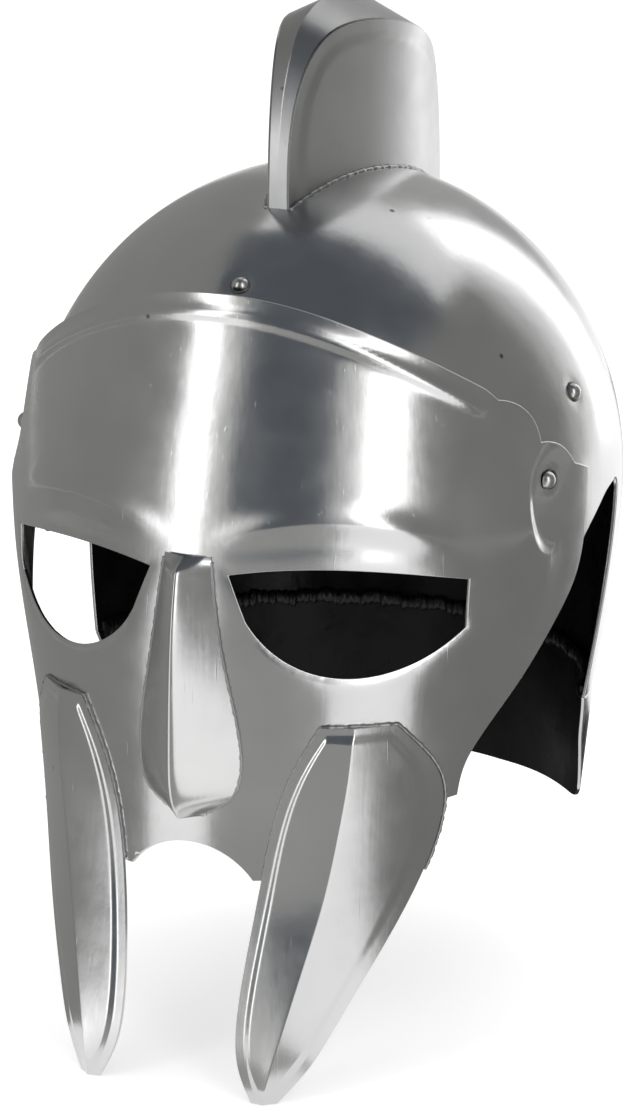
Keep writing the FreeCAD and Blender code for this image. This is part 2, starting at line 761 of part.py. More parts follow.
def make_ear_rivets():
    rivets, washers = [], []
    for side in (1, -1):
        spot, normal = ear_frame(side)
        plate_x = mask_x(spot.y, spot.z)
        outside = (plate_x - abs(spot.x)) * abs(normal.x) + washer_clearance
        lean = strap_top_lean * (strap_knee + washer_radius) / (strap_knee + strap_top)
        depth = strap_seat + lean + washer_thickness + seat_clearance
        rivets.append(rivet(spot, normal, outside, depth))
        washers.append(washer(spot, normal, depth))
    return Part.makeCompound(rivets), Part.makeCompound(washers)


def build():
    nodes = {}
    nodes["skull_bowl"] = make_bowl()
    nodes["neck_guard"] = make_neck_guard()
    nodes["seam_bead"] = make_seam_bead()
    nodes["face_plate"] = make_face_plate()
    nodes["nose_guard"] = make_nose_guard()
    nodes["cheek_plate_left"] = make_cheek_plate()
    nodes["cheek_plate_right"] = mirrored(nodes["cheek_plate_left"])
    left, right, strip = make_crest()
    nodes["crest_side_left"] = left
    nodes["crest_side_right"] = right
    nodes["crest_ridge_strip"] = strip
    nodes["liner_headband"] = make_headband()
    nodes["liner_tongues"] = make_tongues()
    nodes["liner_lace"] = make_lace()
    nodes["liner_rivets"], nodes["liner_washers"] = make_liner_rivets()
    nodes["ear_rivets"], nodes["ear_washers"] = make_ear_rivets()
    nodes["chin_strap_short"] = make_short_strap()
    nodes["chin_strap_long"] = make_long_strap()
    short_depth = 2 * strap_thickness + layer_gap / 2
    long_depth = long_layers * strap_thickness + (long_layers - 1) * layer_gap
    nodes["strap_keeper_short"] = keeper(short_depth, -short_run + slot_rise + keeper_clearance, 1)
    nodes["strap_keeper_long"] = keeper(long_depth, -(long_run + long_fold_top) / 2, -1)
    nodes["buckle_frame"] = make_buckle_frame()
    nodes["buckle_prong"] = make_buckle_prong()
    return nodes


os.makedirs("parts", exist_ok=True)
for name, shape in build().items():
    shape.exportStep("parts/" + name + ".step")
    print(name, len(shape.Solids), round(shape.Volume), shape.isValid())
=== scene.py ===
# %% [markdown]
# This lesson dresses a gladiator helmet. Its solids come from a CAD model, which
# also says which pieces move. Blender adds what the eye wants to see: hand-polished
# steel, black lacquer, leather, and the soft dents and rolled edges of beaten sheet.
# First we load the solids, and keep their box, so that we can set it beside the box
# of the dressed helmet at the end.

import json
import math

import bpy
import numpy as np
from mathutils import Matrix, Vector
from mathutils.geometry import delaunay_2d_cdt


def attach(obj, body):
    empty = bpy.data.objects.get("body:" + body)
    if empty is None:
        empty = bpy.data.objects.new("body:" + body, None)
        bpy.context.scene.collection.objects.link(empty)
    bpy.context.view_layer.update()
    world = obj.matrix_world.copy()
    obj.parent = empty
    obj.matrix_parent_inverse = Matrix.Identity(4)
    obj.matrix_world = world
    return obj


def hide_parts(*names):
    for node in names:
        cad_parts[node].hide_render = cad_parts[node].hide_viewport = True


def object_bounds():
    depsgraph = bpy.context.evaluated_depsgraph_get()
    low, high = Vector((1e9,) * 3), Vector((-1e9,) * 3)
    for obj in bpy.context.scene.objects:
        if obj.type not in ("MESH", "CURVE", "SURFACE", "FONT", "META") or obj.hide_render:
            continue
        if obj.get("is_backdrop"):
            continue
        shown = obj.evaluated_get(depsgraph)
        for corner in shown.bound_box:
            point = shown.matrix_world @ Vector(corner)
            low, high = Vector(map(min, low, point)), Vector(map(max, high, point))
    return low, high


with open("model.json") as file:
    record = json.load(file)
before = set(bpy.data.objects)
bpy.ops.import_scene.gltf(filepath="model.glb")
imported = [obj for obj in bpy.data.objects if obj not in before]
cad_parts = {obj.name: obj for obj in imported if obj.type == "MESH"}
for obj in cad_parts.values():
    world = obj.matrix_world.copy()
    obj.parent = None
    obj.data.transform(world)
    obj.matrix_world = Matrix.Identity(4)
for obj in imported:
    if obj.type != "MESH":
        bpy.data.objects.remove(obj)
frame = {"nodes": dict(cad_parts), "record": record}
cad_low, cad_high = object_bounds()
print("CAD box", [round(v, 4) for v in (*cad_low, *cad_high)])

# %% [markdown]
# The camera stands where the photographer stood: to the wearer's left and a little
# above, far away with a long lens. Its three axes were fitted to the photograph.

# %% Camera
camera_place = (0.56295, -1.34408, 0.35050)
camera_right = (0.91965, 0.39239, 0.01632)
camera_up = (-0.11425, 0.22757, 0.96704)
camera_back = (0.37574, -0.89120, 0.25412)
focal_pixels = 4164
image_height = 1111
sensor = 36.0

camera_data = bpy.data.cameras.new("camera")
camera = bpy.data.objects.new("camera", camera_data)
bpy.context.scene.collection.objects.link(camera)
axes = [camera_right, camera_up, camera_back]
rows = [[axis[i] for axis in axes] + [camera_place[i]] for i in range(3)]
camera.matrix_world = Matrix(rows + [[0, 0, 0, 1]])
camera_data.sensor_width = sensor
camera_data.lens = focal_pixels * sensor / image_height
camera_data.clip_start = 0.05
camera_data.clip_end = 20
bpy.context.scene.camera = camera
print("lens", round(camera_data.lens, 1), "mm")

# %% [markdown]
# Polished steel has hardly a colour of its own: it shows the room. So the studio
# matters as much as the metal. Its floor, its walls and every finish are made of
# shader nodes, so we start with one function that makes any node.

# %% Nodes
white = (1, 1, 1, 1)


def node(tree, kind, sockets=None, **settings):
    """A shader node: each socket gets a value, or the output that feeds it."""
    made = tree.nodes.new("ShaderNode" + kind)
    for name, value in settings.items():
        setattr(made, name, value)
    for name, value in (sockets or {}).items():
        if isinstance(value, bpy.types.NodeSocket):
            tree.links.new(value, made.inputs[name])
        else:
            made.inputs[name].default_value = value
    return made


def new_material(name):
    """A material whose node tree is still empty; gives both."""
    material = bpy.data.materials.new(name)
    material.use_nodes = True
    material.node_tree.nodes.clear()
    return material, material.node_tree


def seen_share(tree):
    """1 for rays that show a background: from the camera, or by way of gloss or glass."""
    path = node(tree, "LightPath").outputs
    near = node(tree, "Math", {0: path["Is Camera Ray"], 1: path["Is Glossy Ray"]}, operation="MAXIMUM")
    glass = path["Is Transmission Ray"]
    return node(tree, "Math", {0: near.outputs[0], 1: glass}, operation="MAXIMUM").outputs[0]


print("node helpers ready")

# %% [markdown]
# The background is a white world over a pale floor. A camera and a mirror see both
# brighter than they light the helmet, so the edges stay white and the shadow stays
# soft. Seen from below, the floor is clear.

# %% Background
floor_level = cad_low.z - 0.0005
floor_half = 6.0


def flat_piece(name, corners, material):
    """One four-cornered face through the given corners, as part of the stage."""
    mesh = bpy.data.meshes.new(name)
    mesh.from_pydata(corners, [], [(0, 1, 2, 3)])
    mesh.materials.append(material)
    thing = bpy.data.objects.new(name, mesh)
    bpy.context.scene.collection.objects.link(thing)
    thing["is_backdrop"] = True
    return thing


world = bpy.data.worlds.new("white_room")
bpy.context.scene.world = world
world.use_nodes = True
room = world.node_tree
room.nodes.clear()
soft = node(room, "Background", {"Color": white, "Strength": 0.72})
bright = node(room, "Background", {"Color": white, "Strength": 1.0})
mixed = node(room, "MixShader", {0: seen_share(room), 1: soft.outputs[0], 2: bright.outputs[0]})
node(room, "OutputWorld", {"Surface": mixed.outputs[0]})

pale_floor, tree = new_material("pale_floor")
paint = node(tree, "BsdfDiffuse", {"Color": (0.90, 0.90, 0.90, 1)}).outputs[0]
lift = node(tree, "Emission", {"Color": (0.5, 0.5, 0.5, 1)}).outputs[0]
lifted = node(tree, "AddShader", {0: paint, 1: lift}).outputs[0]
pale = node(tree, "MixShader", {0: seen_share(tree), 1: paint, 2: lifted}).outputs[0]
below = node(tree, "NewGeometry").outputs["Backfacing"]
clear = node(tree, "BsdfTransparent").outputs[0]
both = node(tree, "MixShader", {0: below, 1: pale, 2: clear}).outputs[0]
node(tree, "OutputMaterial", {"Surface": both})
square = ((-1, -1), (1, -1), (1, 1), (-1, 1))
flat_piece("floor", [(x * floor_half, y * floor_half, floor_level) for x, y in square], pale_floor)
print("background ready")

# %% [markdown]
# Three tall soft boxes give the broad upright highlights. Grey screens and floor
# cards, which only gloss can see, give the metal something darker to mirror. Each
# stands where a band of the photographed steel looks, so moving one moves a band.

# %% Lamps and cards
lamp_distance, lamp_height, lamp_tall = 1.9, 0.75, 2.2


def unit(vectors):
    """The same directions with length 1."""
    return vectors / np.linalg.norm(vectors, axis=-1, keepdims=True)


def round_place(azimuth, distance, height):
    """A place round the helmet; azimuth 0 is in front of the face, 90 at the wearer's left."""
    a = math.radians(azimuth)
    return (distance * math.sin(a), -distance * math.cos(a), height)


def soft_box(name, azimuth, width, watts):
    """An upright lamp, its -Z axis towards the helmet's middle, out of the camera's sight."""
    lamp = bpy.data.lights.new(name, "AREA")
    lamp.shape = "RECTANGLE"
    lamp.size, lamp.size_y, lamp.energy = width, lamp_tall, watts
    thing = bpy.data.objects.new(name, lamp)
    bpy.context.scene.collection.objects.link(thing)
    place = round_place(azimuth, lamp_distance, lamp_height)
    way = unit(-np.array(place))
    side = unit(np.cross(way, (0, 0, 1)))
    up = np.cross(side, way)
    thing.matrix_world = Matrix([[side[i], up[i], -way[i], place[i]] for i in range(3)] + [[0, 0, 0, 1]])
    thing.visible_camera = False


def grey_card(name, corners, colour):
    """A card that only shows in gloss: the camera doesn't see it and it throws no shadow."""
    material, tree = new_material(name + "_grey")
    glow = node(tree, "Emission", {"Color": (*colour, 1)})
    node(tree, "OutputMaterial", {"Surface": glow.outputs[0]})
    thing = flat_piece(name, corners, material)
    thing.visible_camera = thing.visible_diffuse = thing.visible_shadow = False


def screen(name, start, end, distance, high, colour, foot=floor_level):
    """An upright card from one azimuth to another, between two heights."""
    grey_card(name, [round_place(start, distance, foot), round_place(end, distance, foot),
                     round_place(end, distance, high), round_place(start, distance, high)], colour)


def floor_card(name, start, end, near, far, colour):
    """A card that lies on the floor from one azimuth to another."""
    level = floor_level + 0.0002
    grey_card(name, [round_place(start, near, level), round_place(start, far, level),
                     round_place(end, far, level), round_place(end, near, level)], colour)


soft_box("soft_box_right", -24, 0.38, 5.5)
soft_box("soft_box_left", 49, 0.52, 7.5)
soft_box("soft_box_rear", 163, 0.70, 5.8)
cool, warm, mild = (0.105, 0.118, 0.135), (0.30, 0.30, 0.29), (0.24, 0.238, 0.230)
screen("screen_front", -10, 32, 2.6, 2.8, cool)
screen("screen_right", -150, -33, 2.6, 2.8, warm)
screen("screen_left", 60, 136, 2.6, 2.8, mild)
screen("side_card_right", -19, -9, 2.5, 2.4, (0.62, 0.62, 0.60))
screen("side_card_left", 31, 43, 2.5, 2.4, (0.66, 0.66, 0.65))
screen("side_card_rear", 134, 143, 2.5, 2.6, (0.55, 0.55, 0.54))
screen("screen_rear", 172, 211, 2.5, 2.8, (0.44, 0.44, 0.435), foot=0.25)
floor_card("floor_card_front", -10, 32, 0.16, 2.4, (0.40, 0.40, 0.39))
floor_card("floor_card_right", -150, -36, 0.14, 2.4, warm)
floor_card("floor_card_left", 62, 138, 0.14, 2.4, mild)
# Near black, close behind the helmet: a painted shadow, the helmet's own shadow on the floor as the metal
# mirrors it.
floor_card("floor_shadow_card", 142, 215, 0.05, 0.45, (0.03, 0.03, 0.03))
floor_card("floor_card_behind", 184, 212, 0.46, 1.5, (0.28, 0.28, 0.275))
roof, edge, rear = 2.4, 2.6, 0.7
grey_card("card_overhead", [(-edge, -edge, roof), (edge, -edge, roof), (edge, rear, roof),
                            (-edge, rear, roof)], cool)
print("studio ready")

# %% [markdown]
# Each finish is a node material made of a few textures. They run in object
# coordinates, so a mark is as large on every piece.

# %% Textures


def noise(tree, source, scale, detail, stretch=None):
    """A noise texture on object coordinates, squeezed along an axis where stretch is given."""
    if stretch:
        source = node(tree, "Mapping", {"Vector": source, "Scale": stretch}).outputs[0]
    return node(tree, "TexNoise", {"Vector": source, "Scale": scale, "Detail": detail}).outputs[0]


def spread(tree, value, low, high, to_low, to_high):
    """Takes a value from one range to another."""
    return node(tree, "MapRange", {"Value": value, "From Min": low, "From Max": high,
                                   "To Min": to_low, "To Max": to_high}).outputs[0]


def two_tone(tree, value, dark, light):
    """A colour that goes from dark to light over the middle of a value's range."""
    ramp = node(tree, "ValToRGB", {"Fac": value})
    for element, place, colour in zip(ramp.color_ramp.elements, (0.3, 0.7), (dark, light)):
        element.color = (*colour, 1)
        element.position = place
    return ramp.outputs[0]


def bump(tree, height, distance, before=None):
    """Normals bent by a height in metres, on top of what was bent before."""
    sockets = {"Strength": 1.0, "Distance": distance, "Height": height}
    if before:
        sockets["Normal"] = before
    return node(tree, "Bump", sockets).outputs[0]


def small_pits(tree, place, scale, radius, rare):
    """1 in a few small round spots: near the middle of those cells whose random red is high."""
    cells = node(tree, "TexVoronoi", {"Vector": place, "Scale": scale}).outputs
    red = node(tree, "SeparateColor", {"Color": cells["Color"]}).outputs["Red"]
    near = spread(tree, cells["Distance"], radius, radius * 0.5, 0.0, 1.0)
    chosen = spread(tree, red, rare, rare + 0.001, 0.0, 1.0)
    return node(tree, "Math", {0: near, 1: chosen}, operation="MULTIPLY").outputs[0]


print("texture helpers ready")

# %% [markdown]
# Steel first: a bright metal with cloudy polish, fine brush marks that run one way,
# a few pits, and slow dents that bend the reflections.

# %% Steel


def steel(name, dark, light, smooth, rough, dent):
    """Polished sheet: cloudy colour and roughness, brush marks, pits, scratches and slow dents."""
    material, tree = new_material(name)
    place = node(tree, "TexCoord").outputs["Object"]
    planish = noise(tree, place, 75, 3)
    scratch = spread(tree, noise(tree, place, 900, 2, (1.0, 1.0, 0.04)), 0.70, 0.76, 0.0, 1.0)
    normal = None
    for height, distance in ((noise(tree, place, 20, 1), dent), (planish, dent * 0.28),
                             (noise(tree, place, 420, 4, (1.0, 1.0, 0.05)), 0.000016),
                             (noise(tree, place, 380, 3, (0.06, 0.06, 1.0)), 0.000012),
                             (scratch, 0.000012)):
        normal = bump(tree, height, distance, normal)
    cloud = two_tone(tree, noise(tree, place, 18, 3), dark, light)
    pits = small_pits(tree, place, 85, 0.10, 0.90)
    spots = node(tree, "Mix", {"Factor": pits, "A": cloud, "B": (0.16, 0.15, 0.14, 1)}, data_type="RGBA")
    shader = node(tree, "BsdfPrincipled", {
        "Base Color": spots.outputs["Result"], "Metallic": 1.0, "Normal": normal,
        "Roughness": spread(tree, planish, 0.3, 0.7, smooth, rough)})
    node(tree, "OutputMaterial", {"Surface": shader.outputs[0]})
    return material


polished_steel = steel("polished_steel", (0.55, 0.552, 0.555), (0.62, 0.62, 0.615), 0.17, 0.24, 0.0003)
crest_steel = steel("crest_steel", (0.41, 0.412, 0.415), (0.49, 0.49, 0.487), 0.29, 0.36, 0.0003)
rivet_steel = steel("rivet_steel", (0.42, 0.42, 0.42), (0.60, 0.60, 0.59), 0.22, 0.34, 0.0001)
# A dark steel for the rings round the rivets' heads: painted shade where each head meets the sheet.
rivet_shade_grey = steel("rivet_shade_grey", (0.10, 0.10, 0.10), (0.22, 0.22, 0.21), 0.40, 0.55, 0.0001)
solder_grey = steel("solder_grey", (0.30, 0.30, 0.30), (0.46, 0.46, 0.46), 0.34, 0.50, 0.0002)
buckle_steel = steel("buckle_steel", (0.66, 0.66, 0.66), (0.76, 0.76, 0.76), 0.10, 0.18, 0.0001)
print("six steels")

# %% [markdown]
# Inside, the maker brushed black lacquer over the steel to keep off rust. It is
# glossy, a little uneven, and pulls into soft waves. Leather has a cell-like grain,
# creases and a worn sheen.

# %% Lacquer and leather


def lacquer(name, smooth, rough, gloss, wave):
    """Black and glossy, with soft waves and fine specks as bump."""
    material, tree = new_material(name)
    place = node(tree, "TexCoord").outputs["Object"]
    waves = noise(tree, place, 60, 3)
    normal = bump(tree, waves, wave)
    shader = node(tree, "BsdfPrincipled", {
        "Base Color": two_tone(tree, waves, (0.004, 0.004, 0.005), (0.010, 0.010, 0.011)),
        "Roughness": spread(tree, waves, 0.3, 0.7, smooth, rough), "Specular IOR Level": gloss,
        "Normal": bump(tree, noise(tree, place, 700, 2), 0.00004, normal)})
    node(tree, "OutputMaterial", {"Surface": shader.outputs[0]})
    return material


def leather(name, dark, light, grain):
    """Cloudy colour, with creases and a grain of soft cells as bump."""
    material, tree = new_material(name)
    place = node(tree, "TexCoord").outputs["Object"]
    cells = node(tree, "TexVoronoi", {"Vector": place, "Scale": grain, "Smoothness": 0.6},
                 feature="SMOOTH_F1")
    crease = noise(tree, place, 120, 6)
    normal = bump(tree, crease, 0.0005)
    shader = node(tree, "BsdfPrincipled", {
        "Base Color": two_tone(tree, noise(tree, place, 45, 4), dark, light),
        "Roughness": spread(tree, crease, 0.3, 0.7, 0.42, 0.66),
        "Normal": bump(tree, cells.outputs["Distance"], 0.00025, normal)})
    node(tree, "OutputMaterial", {"Surface": shader.outputs[0]})
    return material


black_lacquer = lacquer("black_lacquer", 0.24, 0.36, 0.12, 0.0006)
rough_lacquer = lacquer("rough_lacquer", 0.26, 0.40, 0.28, 0.0012)
black_leather = leather("black_leather", (0.016, 0.013, 0.012), (0.040, 0.033, 0.029), 750)
waxed_lace = leather("waxed_lace", (0.030, 0.020, 0.014), (0.075, 0.052, 0.036), 1400)
thread = leather("waxed_thread", (0.10, 0.075, 0.05), (0.20, 0.15, 0.10), 3000)
print("two lacquers and three leathers")

# %% [markdown]
# Every CAD node now gets its finish. Most are replaced below, and the rest, such as
# the rivets and the buckle, show as they are.

# %% Finishes on the CAD nodes
finish_of_slot = {"polished_steel": polished_steel, "black_lacquer": black_lacquer,
                  "rivet_steel": rivet_steel, "buckle_steel": buckle_steel,
                  "black_leather": black_leather, "waxed_lace": waxed_lace}
for part in frame["record"]["subparts"]:
    mesh = frame["nodes"][part["node"]].data
    mesh.materials.clear()
    mesh.materials.append(finish_of_slot[part["material_slot"]])
print("finished", len(frame["nodes"]), "nodes")

# %% [markdown]
# The sheet pieces are surfaces with a formula, cut along an outline. The formula
# takes two numbers, as if the sheet were still flat on the bench. So we need three
# things: smooth lines through a few points, points laid on a grid inside the
# outline, and a triangulation that keeps the outline as its edge. Another way would
# be to cut solids with booleans, but that leaves slivers that polished metal shows.

# %% Lines
mm = 0.001


def spline(knots, values, wanted):
    """A natural cubic spline: cubic between knots, with slope and bend going on smoothly
    from one to the next, and no bend at the two ends."""
    knots, values, wanted = np.array(knots, float), np.array(values, float), np.asarray(wanted, float)
    gaps = np.diff(knots)
    slopes = np.diff(values, axis=0) / (gaps if values.ndim == 1 else gaps[:, None])
    matrix = np.eye(len(knots))
    inner = np.arange(1, len(knots) - 1)
    matrix[inner, inner - 1] = gaps[:-1]
    matrix[inner, inner] = 2 * (gaps[:-1] + gaps[1:])
    matrix[inner, inner + 1] = gaps[1:]
    right = np.zeros_like(values)
    right[1:-1] = 6 * np.diff(slopes, axis=0)
    bend = np.linalg.solve(matrix, right)
    i = np.clip(np.searchsorted(knots, wanted) - 1, 0, len(knots) - 2)
    shape = wanted.shape + (1,) * (values.ndim - 1)
    gap = gaps[i].reshape(shape)
    left, past = (knots[i + 1] - wanted).reshape(shape), (wanted - knots[i]).reshape(shape)
    bent = (bend[i] * left**3 + bend[i + 1] * past**3) / (6 * gap)
    before, after = values[i] / gap - bend[i] * gap / 6, values[i + 1] / gap - bend[i + 1] * gap / 6
    return bent + before * left + after * past


def lengths(line):
    """Length along a line up to each of its points."""
    return np.append(0, np.cumsum(np.linalg.norm(np.diff(line, axis=0), axis=1)))


def smooth_line(points, count=160):
    """A spline through points, with the distance between them as its parameter."""
    points = np.array(points, float)
    along = lengths(points)
    return spline(along, points, np.linspace(0, along[-1], count))


def arc_line(a, b, c, count=80):
    """The circle's arc from a through b to c: its centre is as far from all three."""
    a, b, c = (np.array(p, float) for p in (a, b, c))
    centre = np.linalg.solve(2 * np.array([b - a, c - a]), [b @ b - a @ a, c @ c - a @ a])
    angles = np.unwrap([math.atan2(*(p - centre)[::-1]) for p in (a, b, c)])
    turn = np.linspace(angles[0], angles[2], count)
    return centre + np.linalg.norm(a - centre) * np.stack([np.cos(turn), np.sin(turn)], 1)


def straight(a, b, count=60):
    """Points spaced evenly from a to b."""
    a, b = np.array(a, float), np.array(b, float)
    return a + np.linspace(0, 1, count)[:, None] * (b - a)


def chain(points, counts):
    """Straight runs from each point to the next, without each run's last point."""
    return [straight(a, b, count)[:-1] for a, b, count in zip(points, points[1:], counts)]


def evenly(line, spacing):
    """The same line with its points a spacing apart, both ends kept."""
    along = lengths(line)
    wanted = np.linspace(0, along[-1], max(2, int(round(along[-1] / spacing)) + 1))
    return np.stack([np.interp(wanted, along, line[:, i]) for i in range(line.shape[1])], 1)


def closed(lines, spacing):
    """One closed loop from lines that follow each other, corner points kept."""
    return np.concatenate([evenly(line, spacing)[:-1] for line in lines if lengths(line)[-1] > 1e-6])


def ring(loop):
    """A loop with its first point added again as the last."""
    return np.concatenate([loop, loop[:1]])


print("line helpers ready")

# %% [markdown]
# To cut a sheet we lay points in staggered rows, keep those inside the outline and
# a little away from it, and let Blender join them and the outline to triangles.

# %% Cutting a flat sheet


def in_batches(points, work):
    """Does the work on 2000 points at a time, so its tables stay small."""
    return np.concatenate([work(points[i:i + 2000]) for i in range(0, len(points), 2000)])


def is_inside(points, loop):
    """A ray to the right crosses the loop an odd number of times."""
    a, b = loop, np.roll(loop, -1, axis=0)

    def work(p):
        """For some points against all edges at once."""
        x, y = p[:, :1], p[:, 1:]
        spans = (a[:, 1] > y) != (b[:, 1] > y)
        rise = np.where(b[:, 1] == a[:, 1], 1, b[:, 1] - a[:, 1])
        crossing = a[:, 0] + (y - a[:, 1]) / rise * (b[:, 0] - a[:, 0])
        return (spans & (x < crossing)).sum(1) % 2 == 1
    return in_batches(points, work)


def distance_to(points, line):
    """Distance to the nearest piece of a line: the foot of the perpendicular, or an end."""
    a, way = line[:-1], np.diff(line, axis=0)
    square = np.maximum((way**2).sum(1), 1e-12)

    def work(p):
        """For some points against all pieces at once."""
        share = np.clip(((p[:, None] - a) * way).sum(2) / square, 0, 1)
        return np.linalg.norm(p[:, None] - a - share[..., None] * way, axis=2).min(1)
    return in_batches(points, work)


def cut_sheet(keep, cuts, spacing):
    """Flat points and triangles inside the loop keep and outside the loops in cuts: points
    in rows, each row shifted by half a spacing, and the loops themselves as edges."""
    low, high = keep.min(0), keep.max(0)
    row = spacing * math.sqrt(3) / 2
    x, y = np.meshgrid(np.arange(low[0], high[0], spacing), np.arange(low[1], high[1], row))
    x[1::2] += spacing / 2
    points = np.stack([x.ravel(), y.ravel()], 1)
    points = points[is_inside(points, keep)]
    for loop in [keep, *cuts]:
        points = points[distance_to(points, ring(loop)) > 0.5 * spacing]
    for loop in cuts:
        points = points[~is_inside(points, loop)]
    edges, start = [], 0
    for loop in [keep, *cuts]:
        index = start + np.arange(len(loop))
        edges += np.stack([index, np.roll(index, -1)], 1).tolist()
        start += len(loop)
    everything = np.concatenate([keep, *cuts, points])
    made = delaunay_2d_cdt([tuple(p) for p in everything.tolist()], edges, [], 0, 1e-5, False)
    flat, faces = np.array([tuple(p) for p in made[0]]), np.array(made[2])
    middle = flat[faces].mean(1)
    good = is_inside(middle, keep)
    for loop in cuts:
        good &= ~is_inside(middle, loop)
    used, faces = np.unique(faces[good], return_inverse=True)
    return flat[used], faces.reshape(-1, 3)


print("sheet cutter ready")

# %% [markdown]
# The next helpers turn numbers into pieces. A piece gets its mesh in metres, its
# finish, the CAD body that it moves with and the CAD nodes that it stands for. A
# plate is a piece that is only a surface at first, and then gets its wall.

# %% Making pieces


def grid_faces(rows, columns, close_rows=False, close_columns=False):
    """Four-cornered faces of a grid of points, joined round where it is closed."""
    i, j = np.meshgrid(np.arange(rows if close_rows else rows - 1),
                       np.arange(columns if close_columns else columns - 1), indexing="ij")
    i, j = i.ravel(), j.ravel()
    k, m = (i + 1) % rows, (j + 1) % columns
    return np.stack([i * columns + j, k * columns + j, k * columns + m, i * columns + m], 1)


def outward(points, faces, centre=None):
    """Turns the faces round if most of them look towards the centre."""
    corners = points[faces]
    normal = np.cross(corners[:, 2] - corners[:, 0], corners[:, -1] - corners[:, 1])
    if faces.shape[1] == 3:
        normal = np.cross(corners[:, 1] - corners[:, 0], corners[:, 2] - corners[:, 0])
    away = corners.mean(1) - (points.mean(0) if centre is None else np.array(centre, float))
    return faces if (normal * away).sum() > 0 else faces[:, ::-1]


def make_piece(name, points, faces, finishes, nodes=()):
    """A mesh piece from points in millimetres, which rides on the helmet and replaces nodes."""
    mesh = bpy.data.meshes.new(name)
    mesh.from_pydata((points * mm).tolist(), [], [f.tolist() for f in faces])
    mesh.polygons.foreach_set("use_smooth", np.ones(len(mesh.polygons), bool))
    for finish in finishes:
        mesh.materials.append(finish)
    thing = bpy.data.objects.new(name, mesh)
    bpy.context.scene.collection.objects.link(thing)
    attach(thing, "helmet")
    if nodes:
        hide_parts(*nodes)
    print(name, len(points), "points")
    return thing


def thicken(thing, thickness, edge, offset):
    """Gives a surface its wall, with the second finish inside, and rounds the cut edges."""
    wall = thing.modifiers.new("wall", "SOLIDIFY")
    wall.thickness = thickness * mm
    wall.offset = offset
    wall.use_even_offset = True
    wall.material_offset = len(thing.data.materials) - 1
    rounding = thing.modifiers.new("edge", "BEVEL")
    rounding.width = edge * mm
    rounding.segments = 3
    rounding.limit_method = "ANGLE"
    rounding.angle_limit = math.radians(50)
    rounding.harden_normals = True


def plate(name, points, faces, inside, nodes, thickness, edge, finishes, offset=-1.0):
    """A surface that looks away from a place inside, with its wall."""
    thing = make_piece(name, points, outward(points, faces, inside), finishes, nodes)
    thicken(thing, thickness, edge, offset)


print("piece helpers ready")

# %% [markdown]
# A rod, a bead or a strap is a profile carried along a path. The next helpers make
# such pieces, and a few profiles and directions for them.

# %% Sweeping a profile


def sweep(path, across, up, profile, close_path=False):
    """A profile carried along a path: each point is the path's, plus the profile's first
    number times the direction across, plus its second times the direction up."""
    across, up = np.broadcast_to(across, path.shape), np.broadcast_to(up, path.shape)
    profile = np.broadcast_to(profile, (len(path), *np.shape(profile)[-2:]))
    grid = path[:, None] + profile[..., :1] * across[:, None] + profile[..., 1:] * up[:, None]
    faces = grid_faces(len(path), profile.shape[1], close_path, True)
    points = grid.reshape(-1, 3)
    if not close_path:
        ends = np.stack([grid[0].mean(0), grid[-1].mean(0)])
        first = np.arange(profile.shape[1])
        last = first + (len(path) - 1) * profile.shape[1]
        fans = [np.stack([np.roll(first, -1), first, np.full_like(first, len(points))], 1),
                np.stack([last, np.roll(last, -1), np.full_like(last, len(points) + 1)], 1)]
        points = np.concatenate([points, ends])
        return points, [*outward(points, faces), *fans[0], *fans[1]]
    return points, outward(points, faces)


def circle(radius, count=12):
    """A round profile."""
    turn = np.arange(count) * 2 * math.pi / count
    return radius * np.stack([np.cos(turn), np.sin(turn)], 1)


def rounded_box(width, thickness, radius, count=5):
    """A rectangle with round corners, as a profile for leather."""
    turn = np.linspace(0, math.pi / 2, count)
    corners = [(1, 1, 0), (-1, 1, 1), (-1, -1, 2), (1, -1, 3)]
    lines = [np.stack([sx * (width / 2 - radius) + radius * np.cos(turn + q * math.pi / 2),
                       sy * (thickness / 2 - radius) + radius * np.sin(turn + q * math.pi / 2)], 1)
             for sx, sy, q in corners]
    return np.concatenate(lines)


def directions(path, close=False):
    """Unit directions along a path."""
    if close:
        way = np.roll(path, -1, axis=0) - np.roll(path, 1, axis=0)
    else:
        way = np.gradient(path, axis=0)
    return unit(way)


def step(value, start, end):
    """Goes smoothly from 0 at start to 1 at end: three times the square less twice the cube."""
    share = np.clip((value - start) / (end - start), 0, 1)
    return share * share * (3 - 2 * share)


print("sweep helpers ready")

# %% [markdown]
# The bowl is raised from one sheet. Above its widest level it is an ellipsoid, and
# below it draws in to the nape. On the bench it is a disc: the distance from the
# middle is the way down from the crown, and the angle is the angle round the head.

# %% The bowl's formula
half_width, half_length, bowl_height = 106.0, 113.0, 112.0
nape_drop, nape_draw_in, sheet = 76.0, 8.5, 1.5
squeeze = half_width / half_length
quarter = bowl_height * math.pi / 2
sheet_finishes = [polished_steel, black_lacquer]


def around(radius, turn, z):
    """Places round the head at an angle from the front, squeezed along X as the bowl is."""
    return np.stack(np.broadcast_arrays(squeeze * radius * np.sin(turn), -radius * np.cos(turn), z), -1)


def bowl_radius(z, inset=0.0):
    """An ellipse above the centre, and a nape that draws in with the power of one and a half."""
    z = np.asarray(z, float)
    above = (half_length - inset) * np.sqrt(np.clip(1 - (z / (bowl_height - inset))**2, 0, 1))
    below = half_length - inset - nape_draw_in * (np.clip(-z, 0, None) / nape_drop)**1.5
    return np.where(z >= 0, above, below)


def bowl_surface(flat):
    """Angle from the crown down to the widest level, then plain depth; squeezed along X."""
    way = np.linalg.norm(flat, axis=1)
    angle = np.minimum(way / quarter, 1) * math.pi / 2
    z = np.where(way < quarter, bowl_height * np.cos(angle), quarter - way)
    radius = np.where(way < quarter, half_length * np.sin(angle), bowl_radius(z))
    round_share = flat / np.maximum(way, 1e-9)[:, None]
    return np.stack([squeeze * radius * round_share[:, 0], radius * round_share[:, 1], z], 1)


